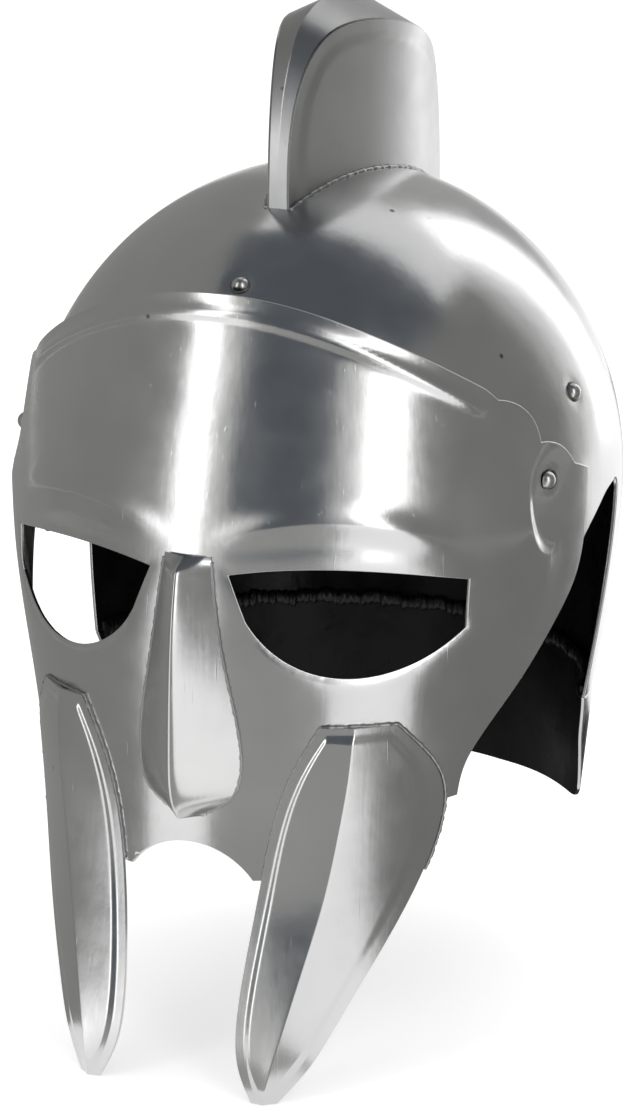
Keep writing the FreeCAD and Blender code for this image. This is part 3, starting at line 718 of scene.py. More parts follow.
def bowl_flat(side_line):
    """Takes a line seen from the side, back and up, to the flat disc."""
    y, z = side_line[:, 0], side_line[:, 1]
    share = np.clip(y / np.maximum(bowl_radius(z), 1e-9), -1, 1)
    way = np.where(z >= 0, np.arccos(np.clip(z / bowl_height, -1, 1)) * bowl_height, quarter - z)
    return np.stack([way * np.sqrt(1 - share**2), way * share], 1)


def from_side(shares):
    """Shares of the bowl's half length and height as millimetres."""
    return np.array(shares) * (half_length, bowl_height)


def mirrored(line):
    """The line on the other side, run backwards, so that a loop goes on through it."""
    return (line * (-1, 1))[::-1]


def both_sides(lines, spacing):
    """A closed loop from the lines of the left side and their mirror images."""
    return closed(lines + [mirrored(line) for line in lines[::-1]], spacing)


print("bowl", half_width * 2, "by", half_length * 2, "by", bowl_height, "mm over its widest level")

# %% [markdown]
# Its edge, seen from the side, goes from the brow down round the tab at the ear, up
# into a notch, and down the front of the nape. The numbers are shares of the bowl's
# half length and height, so they keep their places at any size.

# %% Bowl
ear_tab = from_side(((-0.74, 0.2018), (-0.54, 0.0), (-0.42, -0.15), (-0.31, -0.205),
                     (-0.225, -0.165), (-0.165, -0.105), (-0.096, -0.0438), (-0.041, -0.0045),
                     (0.012, 0.0259), (0.10, 0.0444)))
notch = from_side(((0.10, 0.0444), (0.133, 0.0454), (0.152, 0.0182)))
nape_edge = from_side(((0.152, 0.0182), (0.152, -0.1), (0.138, -0.28), (0.115, -0.48),
                       (0.097, -nape_drop / bowl_height)))
nape_foot = nape_edge[-1]
front_level = ear_tab[0, 1]


def level_line(z, start, end, count=90):
    """A level line on the flat disc, between two angles from the front."""
    turn = np.radians(np.linspace(start, end, count))
    way = np.arccos(z / bowl_height) * bowl_height if z >= 0 else quarter - z
    return way * np.stack([np.sin(turn), -np.cos(turn)], 1)


tab_angle = math.degrees(math.acos(-ear_tab[0, 0] / bowl_radius(front_level)))
foot_angle = math.degrees(math.acos(-nape_foot[0] / bowl_radius(-nape_drop)))
left_side = [level_line(front_level, 0, tab_angle), bowl_flat(smooth_line(ear_tab)),
             bowl_flat(arc_line(*notch)), bowl_flat(smooth_line(nape_edge)),
             level_line(-nape_drop, foot_angle, 180)]
bowl_outline = both_sides(left_side, 2.2)
dimple_depth, dimple_size, rivet_level, band_level = 0.45, 4.4, 80.8, 41.0
edge_round = 0.45
side_forward = 13.0
side_out = squeeze * math.sqrt(float(bowl_radius(band_level))**2 - side_forward**2)
rivet_spots = np.array(((side_out, -side_forward, band_level), (-side_out, -side_forward, band_level),
                        (0, float(bowl_radius(band_level)), band_level),
                        (0, -float(bowl_radius(rivet_level)), rivet_level)))


def dimpled(points, spots):
    """Bell-shaped hollows where the rivets' heads were hammered down, towards the middle."""
    way = np.linalg.norm(points[:, None] - spots, axis=2)
    depth = dimple_depth * np.exp(-(way / dimple_size)**4).sum(1)
    return points - unit(points * (1, 1, 0.6)) * depth[:, None]


flat, faces = cut_sheet(bowl_outline, [], 2.6)
plate("bowl", dimpled(bowl_surface(flat), rivet_spots), faces, None, ["skull_bowl"], sheet, edge_round,
      sheet_finishes)

# %% [markdown]
# The mask is a turned sheet too, leaned forward. Its flat pattern is as wide as the
# way round it, so the formula takes the way round and the height.

# %% The mask's formula
mask_stand_off, mask_forward = 1.2, 3.0
lean = 27.0 / 192.0
mask_size = half_length + mask_stand_off
mask_profile = np.array(((0.908, 0.918), (0.7062, 0.94), (0.4439, 0.974), (0.1433, 1.0),
                         (-0.1816, 0.996), (-0.5347, 0.93), (-0.8374, 0.868), (-1.0695, 0.842),
                         (-1.3621, 0.845), (-1.7656, 0.872)))[::-1]


def mask_radius(z):
    """A spline through the profile's radii over their levels."""
    return spline(mask_profile[:, 0] * bowl_height, mask_profile[:, 1] * mask_size, z)


def mask_point(angle, z, off=0.0):
    """Round the upright mask at a level, then leaned forward and squeezed along X."""
    radius = mask_radius(z) + off
    return np.stack([squeeze * radius * np.sin(angle),
                     lean * z - mask_forward - radius * np.cos(angle), z], -1)


def mask_y(x, z, off=0.0):
    """Y of the mask's outer face at x and z, stood off by a distance."""
    radius = mask_radius(z) + off
    return lean * z - mask_forward - np.sqrt(radius**2 - (x / squeeze)**2)


def upright(shares):
    """Takes shares seen from the side to millimetres on the mask before it was leaned."""
    side = from_side(shares)
    return side - np.stack([lean * side[:, 1] - mask_forward, 0 * side[:, 1]], 1)


def mask_flat(side_line):
    """A line seen from the side on the flat pattern; what lies before the mask is left off."""
    share = -side_line[:, 0] / mask_radius(side_line[:, 1])
    ok = share <= 1
    turn = np.arccos(share[ok])
    line = np.stack([mask_size * turn, side_line[ok, 1]], 1)
    if not ok.all():
        edge = [0.0, line[0, 1] if ok[-1] else line[-1, 1]]
        line = np.concatenate([[edge], line] if ok[-1] else [line, [edge]])
    return line


def front_flat(line):
    """A line seen from the front, in shares of half the width and the height, on the pattern."""
    line = line * (half_length, bowl_height)
    turn = np.arcsin(line[:, 0] / mask_radius(line[:, 1]))
    return np.stack([mask_size * turn, line[:, 1]], 1)


print("mask leans", round(math.degrees(math.atan(lean)), 1), "degrees")

# %% [markdown]
# Its edge, seen from the side, follows the brow, steps down in two scallops over the
# temple, and runs along the jaw to the chin. The eye openings and the mouth are drawn
# from the front.

# %% Mask outline
brow = upright(((-0.88, 0.7365), (-0.745, 0.6054), (-0.549, 0.4465)))
first = upright(((-0.518, 0.4106), (-0.43, 0.3662), (-0.389, 0.2633)))
second = upright(((-0.389, 0.2633), (-0.305, 0.2411), (-0.239, 0.1745)))
lobe = upright(((-0.158, 0.1455), (-0.175, 0.03), (-0.19, -0.075), (-0.222, -0.185),
                (-0.275, -0.27), (-0.345, -0.365), (-0.45, -0.505), (-0.54, -0.625),
                (-0.588, -0.72), (-0.60, -0.8223)))
chin = upright(((-0.60, -0.8223), (-0.775, -0.8697), (-0.93, -1.0241), (-1.10, -1.0695)))
eye = np.array(((0.1386, -0.0888), (0.4691, -0.0626), (0.7974, -0.116), (0.7931, -0.2643),
                (0.4531, -0.3955), (0.1983, -0.227)))
mouth = np.array(((-0.2558, -1.13), (0.0, -0.9484), (0.2558, -1.13)))

brow_line = mask_flat(arc_line(*brow, count=400))
left_side = [brow_line, mask_flat(straight(brow[-1], first[0])), mask_flat(arc_line(*first)),
             mask_flat(arc_line(*second)), mask_flat(straight(second[-1], lobe[0])),
             mask_flat(smooth_line(lobe)), mask_flat(smooth_line(chin, 400))]
mask_spacing = 1.5
mask_outline = both_sides(left_side, mask_spacing)
eye_lines = arc_line(*eye[:3]), straight(eye[2], eye[3]), arc_line(*eye[3:]), straight(eye[5], eye[0])
eye_left = closed([front_flat(line) for line in eye_lines], mask_spacing)
eye_right = mirrored(eye_left)
low_left, low_right = mouth[0] - (0, 0.2), mouth[2] - (0, 0.2)
mouth_lines = (arc_line(*mouth), straight(mouth[2], low_right), straight(low_right, low_left),
               straight(low_left, mouth[0]))
mouth_loop = closed([front_flat(line) for line in mouth_lines], mask_spacing)
print("mask outline", len(mask_outline), "points")

# %% [markdown]
# The armourer beat shapes into the mask from behind: a bead under the top edge, two
# eyebrows, rims that roll in round the eyes, and the edge of a shallow dish at each
# ear, under the rivet.

# %% Mask
ear_turn, ear_level = 1.2105, 16.0
bead_height, bead_inset, bead_width, bead_fade = 1.2, 6.5, 2.0, (96, 112)
eyebrow_height, eyebrow_width, eyebrow_rise, eyebrow_fade = 1.9, 4.6, (6, 38), (66, 104)
eyebrow_level, eyebrow_middle, eyebrow_bend = 9.5, 50, 0.0045
rim_depth, rim_width, rim_deepens = 1.2, 2.4, (24, 34)
dish_height, dish_place, dish_half = 2.5, (141.0, 10.0), (13.5, 19.0)
dish_edge, dish_spread, dish_fade, dish_turn = (0.80, 1.08), 1.2, (138, 150), 0.75
ear_spot = np.array((138.2, ear_level))


def beaten(flat):
    """How far the sheet is beaten out: bell-shaped ridges for the bead and the eyebrows, a
    roll that dies away from the eyes, and a step round the ear that fades forward."""
    s, z = np.abs(flat[:, 0]), flat[:, 1]
    folded = np.stack([s, z], 1)
    near_brow = distance_to(folded, brow_line)
    bead = bead_height * np.exp(-((near_brow - bead_inset) / bead_width)**2) * (1 - step(s, *bead_fade))
    middle = eyebrow_level - eyebrow_bend * (s - eyebrow_middle)**2
    arch = np.exp(-((z - middle) / eyebrow_width)**2) * step(s, *eyebrow_rise) * (1 - step(s, *eyebrow_fade))
    roll = np.exp(-distance_to(folded, ring(eye_left)) / rim_width) * (0.3 + 0.7 * step(-z, *rim_deepens))
    q = np.hypot((s - dish_place[0]) / dish_half[0], (z - dish_place[1]) / dish_half[1])
    turn = np.arctan2(z - dish_place[1], dish_place[0] - s)
    pressed = 0.15 + 0.85 * np.exp(-((turn + dish_turn) / dish_turn)**2)
    dish = step(q, *dish_edge) * np.exp(-np.clip(q - dish_edge[1], 0, None) / dish_spread)
    dish = dish * (1 - step(s, *dish_fade))
    hollow = np.exp(-(np.linalg.norm(folded - ear_spot, axis=1) / dimple_size)**4)
    raised = bead + eyebrow_height * arch - rim_depth * roll
    return raised + dish_height * dish * pressed - dimple_depth * hollow


flat, faces = cut_sheet(mask_outline, [eye_left, eye_right, mouth_loop], mask_spacing)
points = mask_point(flat[:, 0] / mask_size, flat[:, 1], beaten(flat))
plate("mask", points, faces, (0, 60, 0), ["face_plate"], sheet, edge_round, sheet_finishes)

# %% [markdown]
# The neck guard is a strip of a cone, pushed rearwards as it goes down. Its front edge
# curves back from the seam to a round corner, and its foot sweeps on to the rear.

# %% Neck guard
neck_drop, neck_draw_in, neck_sweep = 57.0, 9.0, 12.0
neck_top = float(bowl_radius(-nape_drop))
neck_bottom = -nape_drop - neck_drop


def neck_radius(z):
    """The cone draws in evenly with depth."""
    return neck_top - neck_draw_in * (-nape_drop - z) / neck_drop


def neck_flat(line):
    """Seen from the side: shifted back upright, then the angle from the front times the radius."""
    y = line[:, 0] + neck_sweep / neck_drop * (line[:, 1] + nape_drop)
    share = np.clip(y / neck_radius(line[:, 1]), -1, 1)
    return np.stack([neck_top * np.arccos(-share), line[:, 1]], 1)


def neck_surface(flat):
    """A cone that draws in as it goes down, each level pushed rearwards by the same slope."""
    turn, z = flat[:, 0] / neck_top, flat[:, 1]
    radius = neck_radius(z)
    return np.stack([squeeze * radius * np.sin(turn),
                     -radius * np.cos(turn) - neck_sweep / neck_drop * (z + nape_drop), z], 1)


def neck_side(shares):
    """Shares of the bowl's half length and of the guard's own drop as millimetres."""
    shares = np.array(shares)
    return np.stack([shares[:, 0] * half_length, -nape_drop - shares[:, 1] * neck_drop], 1)


front = neck_side(((0.097, 0.0), (0.118, 0.09), (0.15, 0.28), (0.205, 0.45),
                   (0.285, 0.64), (0.345, 0.755)))
low = neck_side(((0.375, 0.80), (0.46, 0.89), (0.60, 0.955), (0.80, 0.985),
                 (1.0, 1.02), (1.3, 1.05)))
corner = arc_line(front[-1], (front[-1] + low[0]) / 2 + (-0.4, -0.4), low[0], 20)
front_edge = neck_flat(smooth_line(front))
foot_edge = neck_flat(np.maximum(smooth_line(low, 400), (0, neck_bottom)))
rear_way = math.pi * neck_top
foot_edge = foot_edge[foot_edge[:, 0] < rear_way - 1e-6]
foot_edge = np.concatenate([foot_edge, [[rear_way, foot_edge[-1, 1]]]])
half_loop = [front_edge, neck_flat(corner), foot_edge]
other_half = [mirrored(line) + (2 * rear_way, 0) for line in half_loop[::-1]]
top_line = straight(other_half[-1][-1], front_edge[0], 200)
neck_outline = closed(half_loop + other_half + [top_line], 1.8)
flat, faces = cut_sheet(neck_outline, [], 2.4)
plate("neck_plate", neck_surface(flat), faces, (0, 20, -110), ["neck_guard"], sheet, edge_round,
      sheet_finishes)

# %% [markdown]
# A rough bead of weld holds the neck guard under the nape. It is a rod along the
# seam whose thickness swells and shrinks, as drops of metal laid side by side do.

# %% Weld bead
rng = np.random.default_rng(7)
bead_size, drop_pitch = 2.2, 2.7


def waves(along, periods, heights):
    """A sum of sine waves with random phases, for marks made by hand."""
    phases = rng.uniform(0, 2 * math.pi, len(periods))
    return sum(h * np.sin(2 * math.pi * along / p + f) for p, h, f in zip(periods, heights, phases))


start_angle = math.acos((nape_foot[0] + bead_size + 1) / (neck_top - sheet))
turn = np.linspace(start_angle, -start_angle, 520)
bead_ring = neck_top - sheet - bead_size / 2
path = around(bead_ring, turn, -nape_drop) * (1, -1, 1)
along = lengths(path)
drops = 0.76 + 0.24 * np.abs(np.sin(math.pi * along / drop_pitch))
drops = drops + waves(along, (7.3, 17.0, 3.9), (0.06, 0.06, 0.05))
across = unit(path * (1, 1, 0))
drop_profile = circle(bead_size, 16) * (0.9, 1.35) * drops[:, None, None]
path[:, 2] += 0.8 + waves(along, (9.0, 23.0, 4.3), (0.35, 0.4, 0.2))
points, faces = sweep(path, across, (0, 0, 1), drop_profile)
make_piece("weld_bead", points, faces, [rough_lacquer], ["seam_bead"])

# %% [markdown]
# The nose guard is folded from one strip: two flanks meet in a soft ridge, which
# stands further out towards the tip. At the top the maker hammered the strip down to
# the mask, and below folded a small flap back to it, so both ends are closed.

# %% Nose guard
nose_top, nose_length, nose_half, nose_rise, mask_lap = -4.0, 91.0, 18.5, 15.0, 0.5
strip_round = 0.35
nose_shares = np.array(((0.0, 0.46, 0.60), (0.20, 0.58, 0.72), (0.45, 0.78, 0.86), (0.72, 1.0, 1.0),
                        (0.87, 0.96, 0.98), (0.96, 0.66, 0.78), (1.0, 0.34, 0.60)))
fold_softness = 0.07


def nose_surface(t, down):
    """From one edge (-1) over the ridge (0) to the other edge (1): the flanks are straight
    but for a soft fold, whose distance is the root of t squared plus a little squared."""
    shape = spline(nose_shares[:, 0], nose_shares[:, 1:], down)
    tucked = np.sqrt(step(down, -0.012, 0.055))
    half, rise = shape[..., 0] * nose_half, shape[..., 1] * nose_rise * tucked
    z = nose_top - down * nose_length
    softest = math.sqrt(1 + fold_softness**2) - fold_softness
    soft = (np.sqrt(t**2 + fold_softness**2) - fold_softness) / softest
    edge_y, ridge_y = mask_y(half, z, mask_lap), mask_y(0 * half, z, mask_lap + rise)
    return np.stack([half * t, ridge_y + (edge_y - ridge_y) * soft, z], -1)


across_count, flap_drop = 49, 1.5
down, t = np.meshgrid(np.linspace(0, 1, 91), np.linspace(-1, 1, across_count), indexing="ij")
grid = nose_surface(t, down)
flap_share = np.linspace(0, 1, 8)[1:, None, None]
tip = grid[-1]
flap_end = np.stack([tip[:, 0] * 0.96, np.full(across_count, tip[0, 1] + 0.2), tip[:, 2] - flap_drop], 1)
flap = tip + flap_share * (flap_end - tip)
flap[..., 2] = tip[:, 2] - flap_drop * np.sqrt(flap_share[..., 0])
grid = np.concatenate([grid, flap])
plate("nose_ridge", grid.reshape(-1, 3), grid_faces(len(grid), across_count), (0, 0, -50), ["nose_guard"],
      sheet, strip_round, [polished_steel])

# %% [markdown]
# Each cheek plate is a leaf with a ridge down its middle and a flat border. It
# follows the mask and stands on it, so its formula starts from the mask's.

# %% Cheek plates
cheek_top, cheek_length, cheek_rise = -62.0, 131.0, 6.0
cheek_reach = 0.7264 * half_width
cheek_shares = np.array(((0.0, 0.58, 0.72, 0.86, 0.35), (0.12, 0.47, 0.71, 0.975, 0.75),
                         (0.28, 0.38, 0.675, 0.99, 1.0), (0.46, 0.33, 0.625, 0.915, 1.0),
                         (0.64, 0.295, 0.56, 0.80, 0.90), (0.80, 0.28, 0.50, 0.685, 0.75),
                         (0.92, 0.31, 0.455, 0.585, 0.55), (1.0, 0.375, 0.43, 0.485, 0.30)))
border_width, border_step, border_slope = 4.2, 0.7, 1.2
ridge_place, ridge_soft = 1.03, 0.0009


def cheek_surface(t, down):
    """From the inner edge (-1) over the ridge (0) to the outer edge (1): the height over
    the mask grows with the share of the way to the ridge and its square."""
    shape = spline(cheek_shares[:, 0], cheek_shares[:, 1:], down)
    inner, ridge, outer = (shape[..., i] * cheek_reach for i in range(3))
    rise = shape[..., 3] * cheek_rise
    z = cheek_top - down * cheek_length
    x = np.where(t < 0, ridge + (ridge - inner) * t, ridge + (outer - ridge) * t)
    way = 1 - np.abs(t)
    soft = 0.5 * (way + ridge_place - np.sqrt((ridge_place - way)**2 + ridge_soft))
    height = rise * (0.68 * soft + 0.32 * soft**2)
    edge = np.minimum(np.minimum(x - inner, outer - x), np.minimum(down, 1 - down) * cheek_length + 0.5)
    border = step(edge, border_width - border_slope, border_width + border_slope) - 1
    height = height + border_step * border
    return np.stack([x, mask_y(x, z, mask_lap + sheet + height), z], -1)


sides = ((1, "left"), (-1, "right"))
down_count, across_count = 150, 81
down, t = np.meshgrid(np.linspace(0, 1, down_count), np.linspace(-1, 1, across_count), indexing="ij")
leaf = cheek_surface(t, down).reshape(-1, 3)
for side, name in sides:
    plate("cheek_leaf_" + name, leaf * (side, 1, 1), grid_faces(down_count, across_count), (0, 0, -120),
          ["cheek_plate_" + name], sheet, strip_round, [polished_steel])

# %% [markdown]
# The crest is a hollow comb of three sheets. Two walls stand on the bowl and curve
# together at both ends, and a folded strip closes them from the front over the top
# to the rear, like the ridge of a roof. The comb line is that ridge, seen from the
# side, and the strip is a grid that follows it until it meets the bowl.

# %% Crest strip
crest_front, crest_rear, crest_top, crest_half, crest_sheet = 47.0, 94.0, 171.0, 22.0, 1.4
roof_slope, crest_round, crest_ends = 0.45, 0.3, (-47.5, 95)
front_shares = np.array(((0.96, 0.48), (1.0, 0.66), (0.93, 0.82), (0.66, 0.945)))
rear_shares = np.array(((0.50, 0.935), (0.80, 0.80), (0.97, 0.60), (1.0, 0.30)))
plan = np.array(((-0.50, 0.22), (-0.20, 0.60), (0.20, 0.97), (0.42, 0.95), (0.72, 0.62), (1.02, 0.24)))
comb_count = 500
comb = smooth_line(np.concatenate([front_shares * (-crest_front, crest_top), [(0, crest_top)],
                                   rear_shares * (crest_rear, crest_top)]), comb_count)


def crest_width(y):
    """Half the crest's width, a spline over the way back."""
    return spline(plan[:, 0] * crest_rear, plan[:, 1] * crest_half, np.clip(y, *crest_ends))


def bowl_level(x, y):
    """Height of the bowl's outer face over a place, x taken before the squeeze."""
    return bowl_height * np.sqrt(np.clip(1 - (x**2 + y**2) / half_length**2, 0, 1))


sink, fold_soft, fold_dip = 0.5, 1.2, 0.55
columns, roof_rows, front_part, rear_part = 33, 190, 60, 300
u = np.linspace(-1, 1, columns)
width = crest_width(comb[:, 0]) - crest_sheet
x = u * width[:, None]
fold = 0.5 * (np.sqrt(x**2 + fold_soft) + np.abs(x)) - fold_dip * np.exp(-np.abs(x))
z = comb[:, 1:] - roof_slope * fold
above = z - bowl_level(x, comb[:, :1]) + sink
share = np.linspace(0, 1, roof_rows)[:, None]
first_row = np.array([np.interp(0, column[:front_part], np.arange(front_part)) for column in above.T])
last_row = np.array([np.interp(0, -column[rear_part:], np.arange(rear_part, comb_count))
                     for column in above.T])
row = first_row + share * (last_row - first_row)
grid = np.stack([[np.interp(row[:, j], np.arange(comb_count), value) for value in
                  (x[:, j] * squeeze, comb[:, 0], z[:, j])] for j in range(columns)], 2).transpose(1, 2, 0)
plate("crest_roof", grid.reshape(-1, 3), grid_faces(roof_rows, columns), (0, 20, 90), ["crest_ridge_strip"],
      crest_sheet, crest_round, [crest_steel])

# %% [markdown]
# A wall is a flat pattern too, seen from the side: the strip's lower edge above and
# the bowl below. A shallow step inside its edge keeps the satin sheet from looking
# dead flat.

# %% Crest walls
eaves = np.stack([comb[:, 0], comb[:, 1] - roof_slope * crest_width(comb[:, 0])], 1)
height_over = eaves[:, 1] - bowl_level(crest_width(eaves[:, 0]), eaves[:, 0]) + sink
eaves = eaves[height_over > 0]
base_y = np.linspace(eaves[-1, 0], eaves[0, 0], 200)
base = np.stack([base_y, bowl_level(crest_width(base_y), base_y) - sink], 1)
wall_outline = closed([eaves, straight(eaves[-1], base[0]), base, straight(base[-1], eaves[0])], 1.6)
flat, faces = cut_sheet(wall_outline, [], 2.0)
panel_step = 0.6
panel = panel_step * step(distance_to(flat, eaves), 5.0, 7.2)
for side, name in sides:
    out = side * squeeze * (crest_width(flat[:, 0]) - panel_step + panel)
    points = np.stack([out, flat[:, 0], flat[:, 1]], 1)
    plate("crest_wall_" + name, points, faces, (0, 20, 120), ["crest_side_" + name], crest_sheet,
          crest_round, [crest_steel])

# %% [markdown]
# Where plates meet, the maker ran a thin fillet of solder. It is a rod half sunk
# in both plates, dull and a little uneven.

# %% Solder fillets
fillet_spacing = 0.8


def fillet(name, path, radius):
    """A thin uneven rod along a joint."""
    path = evenly(path, fillet_spacing)
    way = directions(path)
    across = unit(np.cross(way, (0.3, 0.2, 1.0)))
    up = np.cross(way, across)
    along = lengths(path)
    swell = 1 + waves(along, (2.3, 4.1, 9.0), (0.16, 0.16, 0.12))
    points, faces = sweep(path, across, up, circle(radius, 8) * swell[:, None, None])
    make_piece(name, points, faces, [solder_grey])


for side, name in sides:
    foot = np.stack([side * squeeze * (crest_width(base[:, 0]) + 0.1), base[:, 0], base[:, 1] + sink], 1)
    fillet("crest_solder_" + name, foot, 0.8)
    edge_t, edge_down = np.full(140, 1.0), np.linspace(0.0, 0.42, 140)
    outer = cheek_surface(edge_t, edge_down)
    inner = cheek_surface(-edge_t, edge_down)
    head = cheek_surface(np.linspace(-1, 1, 60), np.zeros(60))
    path = np.concatenate([inner[::-1], head[1:-1], outer])
    path[:, 1] = mask_y(path[:, 0], path[:, 2], 0.35)
    fillet("cheek_solder_" + name, path * (side, 1, 1), 0.7)
    path = nose_surface(np.full(120, 1.0), np.linspace(0.02, 1.0, 120))
    path[:, 1] = mask_y(path[:, 0], path[:, 2], 0.3)
    fillet("nose_solder_" + name, path * (side, 1, 1), 0.6)

# %% [markdown]
# Round each rivet's head lies a thin dark ring: painted shade where the head meets
# the sheet. The sheet's normal there is the place divided by the squares of the sheet's half sizes.

# %% Rivet shade rings
head_radius, shade_ring_size, mask_half_height = 3.1, 0.42, 400
turn = np.linspace(0, 2 * math.pi, 37)[:-1]
ear = mask_point(ear_turn, ear_level)
places = np.concatenate([rivet_spots, [ear, ear * (-1, 1, 1)]])
for index, place in enumerate(places):
    half_height = bowl_height if index < len(rivet_spots) else mask_half_height
    out = unit(place / np.array((half_width, half_length, half_height))**2)
    side = unit(np.cross((0.1, 0.2, 1.0), out))
    spokes = np.cos(turn)[:, None] * side + np.sin(turn)[:, None] * np.cross(out, side)
    path = place - 0.15 * out + (head_radius + 0.1) * spokes
    # Each ring is painted shade, sunk a little into the sheet round the head.
    points, faces = sweep(path, spokes, out, circle(shade_ring_size, 8), True)
    make_piece(f"rivet_shade_ring_{index + 1}", points, faces, [rivet_shade_grey])

# %% [markdown]
# Inside hangs a leather liner. A headband is riveted to the bowl, and eight leaves
# rise from it to the crown, where each is folded back round a lace and sewn down.
# Pulling the lace sets how deep the head goes.

# %% Headband
leather_gap, band_bottom, band_height, band_thickness = 0.3, 28.0, 26.0, 3.0
band_top = band_bottom + band_height
band_middle = (band_bottom + band_top) / 2
band_off = leather_gap + band_thickness / 2
low_radius, high_radius = (float(bowl_radius(z, sheet)) - band_off for z in (band_bottom, band_top))
turn = np.linspace(0, 2 * math.pi, 361)[:-1]
round_way = around(1.0, turn, 0 * turn)
path = (low_radius + high_radius) / 2 * round_way + (0, 0, band_middle)
slant = np.array([high_radius - low_radius, band_height])
band_up = unit(round_way * slant[0] + np.array([0, 0, slant[1]]))
band_profile = rounded_box(band_thickness, band_height * 0.998, 1.1)
points, faces = sweep(path, round_way, band_up, band_profile, True)
make_piece("headband", points, faces, [black_leather], ["liner_headband"])

# %% [markdown]
# A line of waxed thread runs along the band's lower edge. All its stitches are one
# mesh: a small spindle, repeated at each place by adding two axes to the arrays.

# %% Stitches


def band_face(z):
    """Radius of the band's inner face at a height."""
    return low_radius + (high_radius - low_radius) * (z - band_bottom) / band_height - band_thickness / 2


def stitches(name, middles, ways, lifts, length, radius):
    """Short spindles of thread, each of six rings with six points, sunk at both ends."""
    rings, corners = 6, 6
    share = np.linspace(-1, 1, rings)
    girth = radius * np.sqrt(np.clip(1 - share**4, 0.02, 1))
    angle = np.arange(corners) * 2 * math.pi / corners
    cross = np.cross(ways, lifts)
    arc = radius * 1.3 * (1 - share**2) - radius * 0.4
    offset = share[:, None] * length / 2
    points = middles[:, None, None]
    for move, way in ((offset, ways), (girth[:, None] * np.cos(angle), cross),
                      (arc[:, None] + girth[:, None] * np.sin(angle), lifts)):
        points = points + move[None, :, :, None] * way[:, None, None]
    each = rings * corners
    one = outward(points[0].reshape(-1, 3), grid_faces(rings, corners, False, True))
    faces = (one[None] + (np.arange(len(middles)) * each)[:, None, None]).reshape(-1, 4)
    caps = [np.arange(corners)[::-1] + k * each for k in range(len(middles))]
    caps += [np.arange(corners) + (k + 1) * each - corners for k in range(len(middles))]
    make_piece(name, points.reshape(-1, 3), [*faces, *caps], [thread])


stitch_level, stitch_pitch, stitch_length, thread_radius = band_bottom + 3.0, 4.2, 3.1, 0.42
line = around(band_face(stitch_level), np.linspace(0, 2 * math.pi, 721), stitch_level)
spots = evenly(line, stitch_pitch)
middles = (spots[1:] + spots[:-1]) / 2
stitches("headband_stitches", middles, unit(np.diff(spots, axis=0)), unit(middles * (-1, -1, 0)),
         stitch_length, thread_radius)

# %% [markdown]
# A leaf is a strip with a path seen from the side: up from the band, along the bowl
# and round the lace. Its half angle leaves a slot of even width to its neighbours.

# %% Leaves


def soften(line, rounds):
    """Each point goes towards the middle of its neighbours, a few times, with both ends kept."""
    line = line.copy()
    for _ in range(rounds):
        line[1:-1] = (line[:-2] + 2 * line[1:-1] + line[2:]) / 4
    return line


leaf_count, leaf_thickness, leaf_slot, leaf_lap, leather_fill = 8, 2.5, 7.0, 14.0, 0.98
tunnel_radius, tunnel_level, lace_size, lace_gap = 26.0, 95.0, 1.6, 0.4
washer_size = 5.5
half_leaf = leaf_thickness / 2
rivet_radius = float(bowl_radius(rivet_level))
square = unit(np.array([rivet_radius, rivet_level * (half_length / bowl_height)**2]))
seat = np.array([rivet_radius, rivet_level]) - square * (sheet + leather_gap + half_leaf)
rise = np.array([-square[1], square[0]]) * washer_size
roll = lace_size + lace_gap + half_leaf
roots = [(band_face(z) - leather_gap - half_leaf, z) for z in (band_top - leaf_lap, band_top)]
angles = np.radians(np.linspace(78, 372, 22))  # round the lace, from above it to past its foot
loop_round = np.stack([tunnel_radius + roll * np.cos(angles), tunnel_level + roll * np.sin(angles)], 1)
runs = chain((*roots, seat - rise, seat + rise, loop_round[0]), (10, 12, 8, 26))
softened = soften(evenly(np.concatenate([*runs, loop_round]), 1.1), 3)
across_count = 25
u = np.linspace(-1, 1, across_count)
for index in range(leaf_count):
    middle = index * 2 * math.pi / leaf_count
    radius = softened[:, :1]
    turn = middle + u * (math.pi / leaf_count - np.arcsin(leaf_slot / 2 / radius))
    points = around(radius, turn, softened[:, 1:]).reshape(-1, 3)
    plate(f"leaf_{index + 1}", points, grid_faces(len(softened), across_count), (0, 0, 40),
          ["liner_tongues"] if index == 0 else [], leaf_thickness * leather_fill, 0.5, [black_leather],
          0.0)

# %% [markdown]
# The lace runs round through the leaves' folds. Its profile has three strands, and
# they turn as it goes round.

# %% Lace
turn = np.linspace(0, 2 * math.pi, 241)[:-1]
path = around(tunnel_radius, turn, tunnel_level)
out = unit(path * (1, 1, 0))
strand_count = 18
strand = circle(lace_size, strand_count)
twist = 1 + 0.06 * np.cos(3 * (np.arange(strand_count) * math.pi / 9 - 30 * turn[:, None]))
points, faces = sweep(path, out, (0, 0, 1), strand * twist[..., None], True)
make_piece("lace", points, faces, [waxed_lace], ["liner_lace"])

# %% [markdown]
# The chin strap comes in two halves. Both are flat straps with a path seen from the
# side, in axes of their own at the ear rivet: outward, rearward and up. The short
# half folds round the buckle's bar; the long half is folded up in its keeper.

# %% Strap helpers
ear_forward = 41.0
strap_width, strap_thickness, strap_gap, strap_top, strap_lean = 18.0, 2.5, 0.75, 10.0, 1.9
strap_knee, strap_step, keeper_thickness, keeper_height, keeper_gap = 3.0, 8.0, 1.6, 6.5, 0.3
short_run, short_return, long_run, fold_top, layers, layer_gap = 34.0, 21.0, 36.0, 11.0, 5, 0.6
wire, bar_gap = 1.6, 0.4


def ear_axes(side):
    """The bowl's inner face at the ear rivet, and the directions outward and rearward."""
    radius = float(bowl_radius(ear_level, sheet))
    x = side * squeeze * math.sqrt(radius**2 - ear_forward**2)
    out = unit(np.array([x / squeeze**2, -ear_forward, 0.0]))
    return np.array([x, -ear_forward, ear_level]), out, np.cross((0, 0, 1), out)


